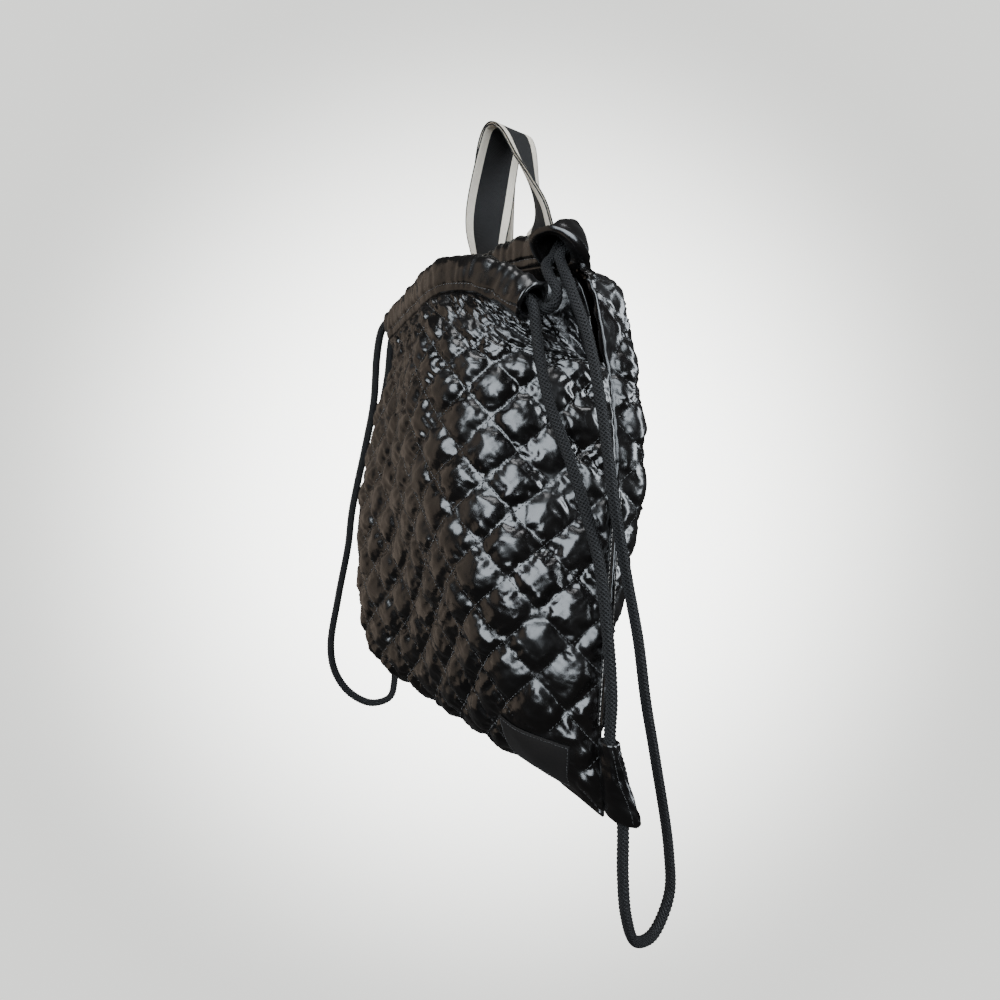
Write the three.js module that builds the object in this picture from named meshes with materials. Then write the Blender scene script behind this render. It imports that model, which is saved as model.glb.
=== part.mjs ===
import * as THREE from 'three';

// A quilted drawstring backpack, hanging by its webbing handle.
// Lengths are millimetres. In the bag's own frame the side seams lie near the plane y = 0, the front
// faces -Y, the back faces +Y, and z = 0 is the level of the left bottom corner.

// Driving dimensions
const BAG_WIDTH = 370;
const BAG_HEIGHT = 400;
const BAG_DEPTH = 140;
const FLAT_WIDTH = 390;
const FLAT_HEIGHT = 430;
const PANEL_THICKNESS = 6;
const QUILT_DIAGONAL = 48;
const QUILT_LOFT = 4.5;
const GATHER_DEPTH = 3.5;
const GATHER_REACH = 0.16;
const CLEARANCE = 0.4;
const CASING_HEIGHT = 29;
const CASING_THICKNESS = 15.5;
const CASING_WALL = 2.2;
const CASING_EASE = 0.7;
const CASING_RUFFLE = 1.6;
const CASING_RUFFLE_PITCH = 19;
const CORD_DIAMETER = 8.2;
const WEBBING_WIDTH = 46;
const WEBBING_THICKNESS = 1.6;
const HANDLE_RISE = 110;
const TAB_WIDTH = 27;
const TAB_THICKNESS = 13;
const BINDING_WIDTH = 7;
const LABEL_THICKNESS = 1;

// The label's sides on the front panel: left, right, top and bottom, as shares across and down
const LABEL_PLACE = [0.79, 0.945, 0.885, 0.98];

// How finely the solids are faceted: a cord's sides, its longest step in diameters and the turn
// that ends a step, and how many stations of a casing its free end widens over
const CORD_SIDES = 8;
const CORD_STEP = 5;
const CORD_TURN = Math.PI / 7;
const FLARE_STATIONS = 5;

// The hook that the handle hangs on, in the bag's frame
const HOOK_X = -7;
const HOOK_Y = 58;
const HOOK_Z = 534;

// Sections of the bag, top row to bottom row. "down" is the share of the cloth's length from the
// casing to the bottom seam. x columns are shares of the width, y of the depth, z of the height.
const SEAM_COLUMNS = ['down', 'left_x', 'left_y', 'left_z', 'right_x', 'right_y', 'right_z'];
const SEAM_SECTIONS = [
  [0.00, -0.318, -0.010, 0.890, 0.335, 0.080, 0.850],
  [0.10, -0.318, -0.010, 0.812, 0.368, 0.200, 0.800],
  [0.24, -0.378, -0.010, 0.702, 0.400, 0.280, 0.715],
  [0.42, -0.464, -0.010, 0.530, 0.436, 0.250, 0.530],
  [0.60, -0.494, -0.020, 0.350, 0.468, 0.130, 0.350],
  [0.78, -0.500, -0.020, 0.175, 0.482, 0.050, 0.165],
  [0.92, -0.494, -0.010, 0.048, 0.484, 0.010, 0.010],
  [1.00, -0.486, 0.000, -0.010, 0.480, 0.000, -0.062],
];
const FRONT_COLUMNS = ['down', 'middle_z', 'crest', 'roll_y', 'ridge_x', 'ridge_y', 'flank_y', 'valley_y',
  'end_x', 'end_y', 'end_z', 'start_y', 'start_z'];
const FRONT_SECTIONS = [
  [0.00, 0.898, 0.68, -0.12, 0.06, -0.27, -0.22, -0.16, -0.024, -0.200, -0.042, -0.10, -0.02],
  [0.10, 0.835, 0.62, -0.10, 0.07, -0.35, -0.24, -0.04, -0.004, -0.050, -0.050, -0.03, -0.01],
  [0.24, 0.725, 0.58, -0.11, 0.08, -0.42, -0.29, 0.04, 0.000, 0.000, 0.000, 0.00, 0.00],
  [0.42, 0.545, 0.55, -0.13, 0.10, -0.45, -0.31, 0.04, 0.000, 0.000, 0.000, 0.00, 0.00],
  [0.60, 0.350, 0.52, -0.15, 0.20, -0.42, -0.28, -0.02, 0.000, 0.000, 0.000, 0.00, 0.00],
  [0.78, 0.150, 0.50, -0.14, 0.30, -0.32, -0.21, -0.07, 0.000, 0.000, 0.000, 0.00, 0.00],
  [0.92, 0.000, 0.50, -0.09, 0.36, -0.19, -0.13, -0.06, 0.000, 0.000, 0.000, 0.00, 0.00],
  [1.00, -0.062, 0.50, 0.00, 0.37, 0.00, 0.00, 0.00, 0.000, 0.000, 0.000, 0.00, 0.00],
];
const BACK_COLUMNS = ['down', 'middle_z', 'left_x', 'left_y', 'middle_y', 'roll_x', 'roll_y',
  'shoulder_x', 'shoulder_y', 'end_x', 'end_y', 'end_z', 'start_y', 'start_z'];
const BACK_SECTIONS = [
  [0.00, 0.990, -0.24, 0.27, 0.36, 0.20, 0.33, 0.29, 0.31, -0.005, 0.12, 0.080, 0.10, 0.01],
  [0.10, 0.905, -0.25, 0.34, 0.44, 0.27, 0.46, 0.37, 0.42, 0.000, 0.02, 0.090, 0.04, 0.01],
  [0.24, 0.740, -0.28, 0.42, 0.53, 0.32, 0.53, 0.420, 0.41, 0.000, 0.00, 0.000, 0.00, 0.00],
  [0.42, 0.550, -0.31, 0.46, 0.55, 0.36, 0.52, 0.452, 0.39, 0.000, 0.00, 0.000, 0.00, 0.00],
  [0.60, 0.350, -0.32, 0.42, 0.53, 0.35, 0.50, 0.445, 0.31, 0.000, 0.00, 0.000, 0.00, 0.00],
  [0.78, 0.150, -0.31, 0.28, 0.41, 0.33, 0.36, 0.430, 0.18, 0.000, 0.00, 0.000, 0.00, 0.00],
  [0.92, 0.010, -0.28, 0.11, 0.19, 0.33, 0.16, 0.420, 0.08, 0.000, 0.00, 0.000, 0.00, 0.00],
  [1.00, -0.062, -0.25, 0.00, 0.00, 0.33, 0.00, 0.420, 0.00, 0.000, 0.00, 0.000, 0.00, 0.00],
];

// The free routes of the cords, in millimetres, from the front casing to the back one
const RIGHT_STRAP_POINTS = [
  [124, -15, 331], [129, -14, 300], [140, -13, 262], [154, -9, 228], [168, -5, 190], [181, -3, 152],
  [190, -2, 98], [192, 0, 57], [190, 1, 26], [193, 4.5, -2], [196, 8, -30], [196, 9, -70],
  [195, 14, -103], [192, 28, -131], [190, 50, -137], [189, 69, -116], [189, 68, -80], [189, 50, 0],
  [191, 36, 48], [192, 26, 94], [190, 16, 138], [188, 4, 193], [178, 3, 249], [160, 6, 306], [141, 6, 346],
];
const LEFT_STRAP_POINTS = [
  [-130, -13, 368], [-141, -14, 360], [-150, -15, 336], [-160, -15, 286], [-172, -20, 239],
  [-193, -29, 163], [-202, -31, 121], [-208, -42, 59], [-208, -52, 2], [-205, -48, -29], [-200, -32, -56],
  [-194, -7, -72], [-189, 14, -68], [-188, 20, -48], [-188, 20, -28], [-188, 20, -4], [-188, 20, 26],
  [-194, 10, 52], [-199, -8, 84], [-200, -16, 118], [-196, -14, 166], [-184, -9, 220], [-168, -4, 270],
  [-154, 0, 318], [-147, 0, 346], [-141, 1, 363], [-132, 3.5, 376],
];

// Where the cords cross from one casing to the other, beyond the mouth's ends
const LEFT_CROSSING_POINTS = [[-124, -11.5, 358.5], [-128, -3, 360.5], [-124.5, 4, 365.5]];
const RIGHT_CROSSING_POINTS = [
  [118.3, 2, 368], [125, -1, 357.5], [133, -0.4, 345.6], [132.2, -1.8, 335], [124, -5.5, 332.5],
];

// Rows of a tab, down its tunnel: how far down, how far the cloth reaches in and out from the
// cord as shares of the tab's width, and half its thickness as a share of the tab's thickness
const TAB_SECTIONS = [
  [0.00, 0.26, 0.26, 0.50],
  [0.25, 0.36, 0.32, 0.52],
  [0.50, 0.40, 0.40, 0.56],
  [0.75, 0.38, 0.58, 0.56],
  [0.92, 0.34, 0.62, 0.50],
  [1.00, 0.30, 0.50, 0.44],
];

// Rows of the handle's webbing, from its right end over the hook to its left end: x, y and z of the
// strip's middle, as shares of the handle's rise, and the turn of its width in degrees
const HANDLE_RIGHT = [
  [0.43, -0.014, -0.20, 176],
  [0.45, -0.010, -0.04, 174],
  [0.47, -0.03, 0.10, 160],
  [0.42, -0.04, 0.30, 138],
  [0.28, -0.02, 0.58, 118],
  [0.13, 0.00, 0.90, 98],
  [0.00, 0.00, 1.007, 88],
];
const HANDLE_LEFT_INNER = [
  [-0.10, 0.00, 0.92, 86],
  [-0.19, -0.02, 0.62, 72],
  [-0.26, -0.03, 0.34, 46],
  [-0.28, -0.02, 0.12, 18],
  [-0.29, 0.004, -0.04, 6],
  [-0.30, 0.004, -0.20, 4],
];
const HANDLE_LEFT_OUTER = [
  [-0.11, 0.00, 0.93, 85],
  [-0.22, 0.02, 0.64, 76],
  [-0.31, 0.05, 0.34, 62],
  [-0.35, 0.06, 0.12, 34],
  [-0.32, 0.03, -0.04, 9],
  [-0.30, 0.018, -0.20, 4],
];

const vector = (x, y, z) => new THREE.Vector3(x, y, z);
const placed = (rows) => rows.map((row) => vector(...row));
const mix = (a, b, share) => a + (b - a) * share;

// A smooth curve of values over a row of knots, that passes through each value and never beyond.
function smoothValue(knots, values, at) {
  const last = knots.length - 1;
  let k = 0;
  while (k < last - 1 && at > knots[k + 1]) k += 1;
  const slope = (i) => (values[i + 1] - values[i]) / (knots[i + 1] - knots[i]);
  const tangent = (i) => {
    if (i === 0) return slope(0);
    if (i === last) return slope(last - 1);
    if (slope(i - 1) * slope(i) <= 0) return 0;
    const before = knots[i] - knots[i - 1];
    const after = knots[i + 1] - knots[i];
    return (slope(i - 1) * after + slope(i) * before) / (before + after);
  };
  const span = knots[k + 1] - knots[k];
  const s = Math.min(1, Math.max(0, (at - knots[k]) / span));
  const rise = s * s * (3 - 2 * s);
  const leave = s * (1 - s) * (1 - s) * span * tangent(k);
  const arrive = s * s * (s - 1) * span * tangent(k + 1);
  return mix(values[k], values[k + 1], rise) + leave + arrive;
}

// One row of a table at any share of the way down, as an object with the columns' names.
function readTable(columns, rows, down) {
  const knots = rows.map((row) => row[0]);
  const read = (name, k) => [name, smoothValue(knots, rows.map((row) => row[k]), down)];
  return Object.fromEntries(columns.map(read));
}

// The two ends of a section: its seams, moved apart at the mouth where front and back part.
function sectionEnds(row, ends) {
  const left = vector(row.left_x, row.left_y + ends.start_y, row.left_z + ends.start_z);
  const right = vector(
    row.right_x + ends.end_x, row.right_y + ends.end_y, row.right_z + ends.end_z);
  return [left, right];
}

// The height of a point between the ends of a section, which rises or dips to its crest.
function sectionHeight(left, right, middle, crest, x) {
  const share = (x - left.x) / (right.x - left.x);
  const toEnd = share < crest ? (crest - share) / crest : (share - crest) / (1 - crest);
  return mix(middle, share < crest ? left.z : right.z, toEnd ** 1.6);
}

function frontSection(down) {
  const row = readTable(SEAM_COLUMNS, SEAM_SECTIONS, down);
  const front = readTable(FRONT_COLUMNS, FRONT_SECTIONS, down);
  const [left, right] = sectionEnds(row, front);
  const roll = [left.x + 0.03, front.roll_y];
  const ridge = [front.ridge_x, front.ridge_y];
  const across = [
    [left.x, left.y],
    roll,
    [mix(roll[0], ridge[0], 0.55), mix(roll[1], ridge[1], 0.58)],
    ridge,
    [mix(ridge[0], right.x, 0.52), front.flank_y],
    [mix(ridge[0], right.x, 0.84), front.valley_y],
    [right.x, right.y],
  ];
  return across.map(([x, y]) => [x, y, sectionHeight(left, right, front.middle_z, front.crest, x)]);
}

function backSection(down) {
  const row = readTable(SEAM_COLUMNS, SEAM_SECTIONS, down);
  const back = readTable(BACK_COLUMNS, BACK_SECTIONS, down);
  const [left, right] = sectionEnds(row, back);
  const across = [
    [left.x, left.y],
    [back.left_x, back.left_y],
    [0, back.middle_y],
    [back.roll_x, back.roll_y],
    [back.shoulder_x, back.shoulder_y],
    [right.x, right.y],
  ];
  return across.map(([x, y]) => [x, y, sectionHeight(left, right, back.middle_z, 0.5, x)]);
}

// A surface through the sections of one side of the bag. The cloth is spread evenly along each
// section, so a share across is a share of the section's own length.
function bagSurface(section) {
  const size = [BAG_WIDTH, BAG_DEPTH, BAG_HEIGHT];
  const cache = new Map();
  const readSection = (down) => {
    const points = section(down).map((point) => point.map((share, axis) => share * size[axis]));
    const lengths = points.map((p, k) => {
      return k === 0 ? 0 : Math.hypot(...p.map((c, axis) => c - points[k - 1][axis]));
    });
    const total = lengths.reduce((sum, length) => sum + length);
    let run = 0;
    const knots = lengths.map((length) => {
      run += length;
      return run / total;
    });
    return { knots, axes: [0, 1, 2].map((axis) => points.map((p) => p[axis])) };
  };
  return (across, down) => {
    if (!cache.has(down)) cache.set(down, readSection(down));
    const { knots, axes } = cache.get(down);
    return vector(...axes.map((values) => smoothValue(knots, values, across)));
  };
}

function surfaceNormal(surface, facing, across, down) {
  const step = 0.004;
  const lift = (value) => Math.min(1 - step, Math.max(step, value));
  const u = lift(across);
  const v = lift(down);
  const alongAcross = surface(u + step, v).sub(surface(u - step, v));
  const alongDown = surface(u, v + step).sub(surface(u, v - step));
  return alongDown.cross(alongAcross).normalize().multiplyScalar(facing);
}

// How far the cloth stands above its base: quilt pillows between the stitch lines, and the folds
// that the gathered top draws down from the casing.
function quiltRelief(column, row, columns, rows) {
  const pillow = Math.abs(Math.sin(Math.PI * (column + row) / 4) * Math.sin(Math.PI * (column - row) / 4));
  const fold = Math.cos(Math.PI * column / 2) * Math.exp(-row / rows / GATHER_REACH);
  const atEdge = column === 0 || column === columns || row === 0 || row === rows;
  return atEdge ? 0 : QUILT_LOFT * pillow + GATHER_DEPTH * fold;
}

// A closed geometry from points and triangles, turned so that its faces point out.
function closedGeometry(points, triangles) {
  const volume = triangles.reduce((sum, [a, b, c]) => {
    return sum + points[a].dot(points[b].clone().cross(points[c]));
  }, 0);
  const facingOut = volume > 0 ? triangles : triangles.map(([a, b, c]) => [a, c, b]);
  const geometry = new THREE.BufferGeometry();
  const coordinates = points.flatMap((point) => point.toArray());
  geometry.setAttribute('position', new THREE.Float32BufferAttribute(coordinates, 3));
  geometry.setIndex(facingOut.flat());
  geometry.computeVertexNormals();
  return geometry;
}

// The two triangles of a grid cell, split along the diagonal whose ends stand most nearly level.
function splitCell(corners, heights) {
  const [a, b, c, d] = corners;
  const [ha, hb, hc, hd] = heights;
  const fallAC = Math.abs(ha - hc) * 10 + ha + hc;
  const fallBD = Math.abs(hb - hd) * 10 + hb + hd;
  return fallAC <= fallBD ? [[a, b, c], [a, c, d]] : [[a, b, d], [b, c, d]];
}

// The indexes around the edge of a grid: down its left side, along, up and back.
function gridEdge(columns, rows, index) {
  const edge = [];
  for (let j = 0; j < rows; j += 1) edge.push(index(0, j));
  for (let i = 0; i < columns; i += 1) edge.push(index(i, rows));
  for (let j = rows; j > 0; j -= 1) edge.push(index(columns, j));
  for (let i = columns; i > 0; i -= 1) edge.push(index(i, 0));
  return edge;
}

// The way up from a panel's top edge, and the level way into the bag from it.
function topEdge(surface, facing, across) {
  const step = 0.01;
  const along = surface(across + step, 0).sub(surface(across - step, 0)).normalize();
  const up = vector(0, 0, 1).addScaledVector(along, -along.z).normalize();
  return { up, inward: up.clone().cross(along).multiplyScalar(facing) };
}

// The direction from the cloth's outer face to its inner one. At a seam it lies in the seam.
function inwardDirection(surface, facing, across, down) {
  const direction = vector(0, 0, 0);
  if (across === 0) direction.x = 1;
  if (across === 1) direction.x = -1;
  if (down === 1) direction.z = 1;
  if (down === 0 && direction.x === 0) return topEdge(surface, facing, across).inward;
  if (direction.lengthSq() > 0) return direction.normalize();
  return surfaceNormal(surface, facing, across, down).negate();
}

// One padded panel: an outer face on the quilting's grid, an inner face with cells twice as large,
// and a rim between them. facing is 1 on the front and -1 on the back.
function paddedPanel(surface, facing) {
  const cell = QUILT_DIAGONAL / 4;
  const columns = 2 * Math.round(FLAT_WIDTH / cell / 2);
  const rows = 2 * Math.round(FLAT_HEIGHT / cell / 2);
  const outer = (i, j) => j * (columns + 1) + i;
  const innerStart = (columns + 1) * (rows + 1);
  const inner = (i, j) => innerStart + j * (columns / 2 + 1) + i;
  const part = vector(0, -facing * CLEARANCE / 2, 0);
  const points = [];
  const relief = [];
  for (let j = 0; j <= rows; j += 1) {
    for (let i = 0; i <= columns; i += 1) {
      const height = quiltRelief(i, j, columns, rows) * plainUnderLabel(facing, i / columns, j / rows);
      const normal = surfaceNormal(surface, facing, i / columns, j / rows);
      points.push(surface(i / columns, j / rows).addScaledVector(normal, height).add(part));
      relief.push(height);
    }
  }
  for (let j = 0; j <= rows / 2; j += 1) {
    for (let i = 0; i <= columns / 2; i += 1) {
      const across = 2 * i / columns;
      const down = 2 * j / rows;
      const inward = inwardDirection(surface, facing, across, down);
      points.push(surface(across, down).addScaledVector(inward, PANEL_THICKNESS).add(part));
    }
  }
  const triangles = [];
  for (let j = 0; j < rows; j += 1) {
    for (let i = 0; i < columns; i += 1) {
      const corners = [outer(i, j), outer(i, j + 1), outer(i + 1, j + 1), outer(i + 1, j)];
      triangles.push(...splitCell(corners, corners.map((k) => relief[k])));
    }
  }
  for (let j = 0; j < rows / 2; j += 1) {
    for (let i = 0; i < columns / 2; i += 1) {
      triangles.push([inner(i, j), inner(i + 1, j + 1), inner(i, j + 1)]);
      triangles.push([inner(i, j), inner(i + 1, j), inner(i + 1, j + 1)]);
    }
  }
  const fine = gridEdge(columns, rows, outer);
  const coarse = gridEdge(columns / 2, rows / 2, inner);
  coarse.forEach((near, k) => {
    const next = coarse[(k + 1) % coarse.length];
    const [first, second, third] = [fine[2 * k], fine[2 * k + 1], fine[(2 * k + 2) % fine.length]];
    triangles.push([second, first, near], [second, near, next], [third, second, next]);
  });
  return closedGeometry(points, triangles);
}

// A solid through rings of the same number of points, with flat ends, or with a hole through it
// where each ring has an inner ring as well. The sides in crossed are cut into triangles along the
// other diagonal, so that a thin strip keeps its thickness where it twists.
function ringSolid(rings, holes = null, crossed = []) {
  const sides = rings[0].length;
  const last = rings.length - 1;
  const points = rings.flat();
  const triangles = [];
  const wall = (start, direction) => {
    for (let k = 0; k < last; k += 1) {
      for (let i = 0; i < sides; i += 1) {
        const a = start + k * sides + i;
        const b = start + k * sides + (i + 1) % sides;
        const corners = [a, b, b + sides, a + sides];
        const [p, q, r, s] = direction > 0 ? corners : corners.reverse();
        if (crossed.includes(i)) triangles.push([q, r, s], [q, s, p]);
        else triangles.push([p, q, r], [p, r, s]);
      }
    }
  };
  wall(0, 1);
  const end = last * sides;
  if (holes) {
    const start = points.length;
    points.push(...holes.flat());
    wall(start, -1);
    for (let i = 0; i < sides; i += 1) {
      const j = (i + 1) % sides;
      triangles.push([j, i, start + i], [j, start + i, start + j]);
      const [a, b] = [end + i, end + j];
      triangles.push([a, b, start + b], [a, start + b, start + a]);
    }
  } else {
    for (let i = 1; i < sides - 1; i += 1) {
      triangles.push([0, i + 1, i], [end, end + i, end + i + 1]);
    }
  }
  return closedGeometry(points, triangles);
}

// A frame at each of equally spaced stations along a curve: where it is, which way the curve runs,
// a direction as near to upward as fits, and the direction out of the bag.
function stationsAlong(curve, count, upward = vector(0, 0, 1)) {
  return Array.from({ length: count + 1 }, (_, k) => {
    const along = curve.getTangentAt(k / count);
    const up = upward.clone().addScaledVector(along, -upward.dot(along)).normalize();
    return { at: curve.getPointAt(k / count), along, up, out: along.clone().cross(up) };
  });
}

// The eight corners of a flattened ring around a station.
function flatRing(station, halfHeight, halfThickness, ruffle = 0) {
  const corners = [
    [0.55, 1], [1, 0.6], [1, -0.6], [0.55, -1], [-0.55, -1], [-1, -0.6], [-1, 0.6], [-0.55, 1],
  ];
  return corners.map(([out, up]) => {
    const swell = up > -1 ? ruffle : 0;
    return station.at.clone()
      .addScaledVector(station.out, out * (halfThickness + swell))
      .addScaledVector(station.up, up * (halfHeight + swell));
  });
}

// The line that a casing's tunnel follows: above the top edge of its panel, over the middle of the
// panel's thickness, and on from there through the points of its free end.
function casingCurve(surface, facing, from, to, freeEnd) {
  const seats = 18;
  const points = Array.from({ length: seats + 1 }, (_, k) => {
    const across = mix(from, to, k / seats);
    const { up, inward } = topEdge(surface, facing, across);
    return surface(across, 0)
      .addScaledVector(inward, PANEL_THICKNESS / 2)
      .addScaledVector(up, CASING_HEIGHT / 2 + CASING_EASE)
      .add(vector(0, -facing * CLEARANCE / 2, 0));
  });
  const end = points[seats].clone();
  freeEnd.forEach(([x, y, z]) => {
    points.push(end.clone().add(vector(x, y, z).multiplyScalar(CASING_HEIGHT)));
  });
  return new THREE.CatmullRomCurve3(points, false, 'centripetal');
}

// A gathered tunnel of cloth with a cord's way through it, which widens towards its free end.
function gatheredCasing(stations, flareHeight, flareThickness) {
  const last = stations.length - 1;
  const holeHeight = CASING_HEIGHT / 2 - 2 * CASING_WALL;
  const holeThickness = CASING_THICKNESS / 2 - CASING_WALL;
  const near = (k) => Math.max(0, 1 - (last - k) / FLARE_STATIONS) ** 2;
  const ring = (halfHeight, halfThickness, ruffle) => stations.map((station, k) => {
    const lift = CASING_HEIGHT / 2 * flareHeight * near(k);
    const at = station.at.clone().addScaledVector(station.up, lift);
    const wide = halfThickness * (1 + flareThickness * near(k));
    return flatRing({ ...station, at }, halfHeight + lift, wide, k % 2 === 0 ? ruffle : 0);
  });
  return ringSolid(
    ring(CASING_HEIGHT / 2, CASING_THICKNESS / 2, CASING_RUFFLE), ring(holeHeight, holeThickness, 0));
}

// The stations of a casing, two to each ruffle.
function casingStations(curve) {
  return stationsAlong(curve, 2 * Math.round(curve.getLength() / CASING_RUFFLE_PITCH));
}

// A strip of webbing through the rows of a table. Each row gives where the strip's middle is, in
// shares of the handle's rise, and which way its width points, in degrees from +X towards +Y.
// layer is how many strips lie between this one and the inside of the loop.
function webbingStrip(rows, layer) {
  const start = vector(HOOK_X, HOOK_Y, HOOK_Z - HANDLE_RISE);
  const places = rows.map(([x, y, z]) => vector(x, y, z).multiplyScalar(HANDLE_RISE).add(start));
  const rings = rows.map(([, , , turn], k) => {
    const before = places[Math.max(0, k - 1)];
    const after = places[Math.min(rows.length - 1, k + 1)];
    const along = after.clone().sub(before).normalize();
    const angle = THREE.MathUtils.degToRad(turn);
    const wide = vector(Math.cos(angle), Math.sin(angle), 0);
    wide.addScaledVector(along, -wide.dot(along)).normalize();
    const outward = wide.clone().cross(along);
    const middle = places[k].clone().addScaledVector(outward, layer * (WEBBING_THICKNESS + 1.5 * CLEARANCE));
    const corners = [[-0.5, -0.5], [0.5, -0.5], [0.5, 0.5], [-0.5, 0.5]];
    return corners.map(([w, t]) => middle.clone()
      .addScaledVector(wide, w * WEBBING_WIDTH)
      .addScaledVector(outward, t * WEBBING_THICKNESS));
  });
  return ringSolid(rings, null, [2]);
}

// The rows of a webbing table, with as many again worked out smoothly between them.
function finerRows(rows, count) {
  const knots = rows.map((_, k) => k / (rows.length - 1));
  return Array.from({ length: count + 1 }, (_, n) => {
    return rows[0].map((_, column) => smoothValue(knots, rows.map((row) => row[column]), n / count));
  });
}

// The points of a cord's run through a casing. Two cords share it, one over the other, and turn to
// lie side by side at its free end.
function heldRun(stations, upSide, outSide) {
  const last = stations.length - 1;
  const apart = CORD_DIAMETER / 2 + CLEARANCE;
  return stations.map((station, k) => {
    const turn = Math.PI / 2 * Math.min(1, (last - k) / 4);
    return station.at.clone()
      .addScaledVector(station.up, upSide * apart * Math.sin(turn))
      .addScaledVector(station.out, outSide * apart * Math.cos(turn));
  });
}

// A cord: a round tube along a smooth curve through its points, with steps that grow shorter
// where it bends.
function cordTube(points) {
  const curve = new THREE.CatmullRomCurve3(points, false, 'centripetal');
  const fine = Math.round(curve.getLength() / CORD_DIAMETER * 6);
  const samples = Array.from({ length: fine + 1 }, (_, k) => ({
    at: curve.getPointAt(k / fine),
    along: curve.getTangentAt(k / fine),
  }));
  const cost = [0];
  for (let k = 1; k <= fine; k += 1) {
    const length = samples[k].at.distanceTo(samples[k - 1].at) / (CORD_STEP * CORD_DIAMETER);
    const turning = samples[k].along.angleTo(samples[k - 1].along) / CORD_TURN;
    cost.push(cost[k - 1] + length + turning);
  }
  const count = Math.ceil(cost[fine]);
  let side = vector(0, 0, 1).cross(samples[0].along).normalize();
  const rings = Array.from({ length: count + 1 }, (_, n) => {
    const { at, along } = samples[cost.findIndex((value) => value >= cost[fine] * n / count)];
    side = side.clone().addScaledVector(along, -side.dot(along)).normalize();
    const other = along.clone().cross(side);
    return Array.from({ length: CORD_SIDES }, (_unused, k) => {
      const angle = 2 * Math.PI * k / CORD_SIDES;
      return at.clone()
        .addScaledVector(side, Math.cos(angle) * CORD_DIAMETER / 2)
        .addScaledVector(other, Math.sin(angle) * CORD_DIAMETER / 2);
    });
  });
  return ringSolid(rings);
}

// Some of the points of a closed cord, from one of them to another. The piece of cord through them
// stops a little short at each end, where the next piece meets it.
function cordPiece(loop, from, to) {
  const curve = new THREE.CatmullRomCurve3(loop, true, 'centripetal');
  const points = [];
  for (let k = from; k <= to; k += 0.5) points.push(curve.getPoint(k / loop.length % 1));
  const shorten = (end, next) => end.add(next.clone().sub(end).setLength(CLEARANCE * 0.6));
  shorten(points[0], points[1]);
  shorten(points[points.length - 1], points[points.length - 2]);
  return cordTube(points);
}

// A corner tab: a folded piece of cloth whose tunnel holds the cord. Its rows run down the cord,
// and it reaches away from the corner in the direction that outward gives, in degrees.
function cornerTab(top, bottom, outward) {
  const rings = [];
  const holes = [];
  const way = (CORD_DIAMETER / 2 + 2 * CLEARANCE) / Math.cos(Math.PI / 8);
  const turn = THREE.MathUtils.degToRad(outward);
  TAB_SECTIONS.forEach(([down, reachIn, reachOut, thick]) => {
    const middle = top.clone().lerp(bottom, down);
    const corner = (k) => [Math.cos((k + 0.5) * Math.PI / 4), Math.sin((k + 0.5) * Math.PI / 4)];
    const place = (x, y) => middle.clone().add(vector(
      x * Math.cos(turn) - y * Math.sin(turn), x * Math.sin(turn) + y * Math.cos(turn), 0));
    const around = Array.from({ length: 8 }, (_, k) => corner(k));
    rings.push(around.map(([x, y]) => {
      return place(x * TAB_WIDTH * (x > 0 ? reachOut : reachIn), y * TAB_THICKNESS * thick);
    }));
    holes.push(around.map(([x, y]) => place(x * way, y * way)));
  });
  return ringSolid(rings, holes);
}

// A folded strip that covers a side seam, from one share of the way down to another.
function seamBinding(across, outward, from, to) {
  const count = 14;
  const rings = Array.from({ length: count + 1 }, (_, k) => {
    const down = mix(from, to, k / count);
    const step = 0.01;
    const along = frontSurface(across, down + step).sub(frontSurface(across, down - step)).normalize();
    const out = outward.clone().addScaledVector(along, -outward.dot(along)).normalize();
    const thick = along.clone().cross(out);
    const edge = frontSurface(across, down).addScaledVector(out, 2 * CLEARANCE);
    const corners = [[0, -0.5], [0.8, -0.5], [1, 0], [0.8, 0.5], [0, 0.5]];
    return corners.map(([wide, deep]) => edge.clone()
      .addScaledVector(out, wide * BINDING_WIDTH)
      .addScaledVector(thick, deep * BINDING_WIDTH / 2));
  });
  return ringSolid(rings);
}

// Whether the quilting stands up at a place: it lies plain under the label.
function plainUnderLabel(facing, across, down) {
  const [left, right, top, bottom] = LABEL_PLACE;
  const [marginAcross, marginDown] = [QUILT_DIAGONAL / 4 / FLAT_WIDTH, QUILT_DIAGONAL / 4 / FLAT_HEIGHT];
  const inside = across > left - marginAcross && across < right + marginAcross
    && down > top - marginDown && down < bottom + marginDown;
  return facing > 0 && inside ? 0 : 1;
}

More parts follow.
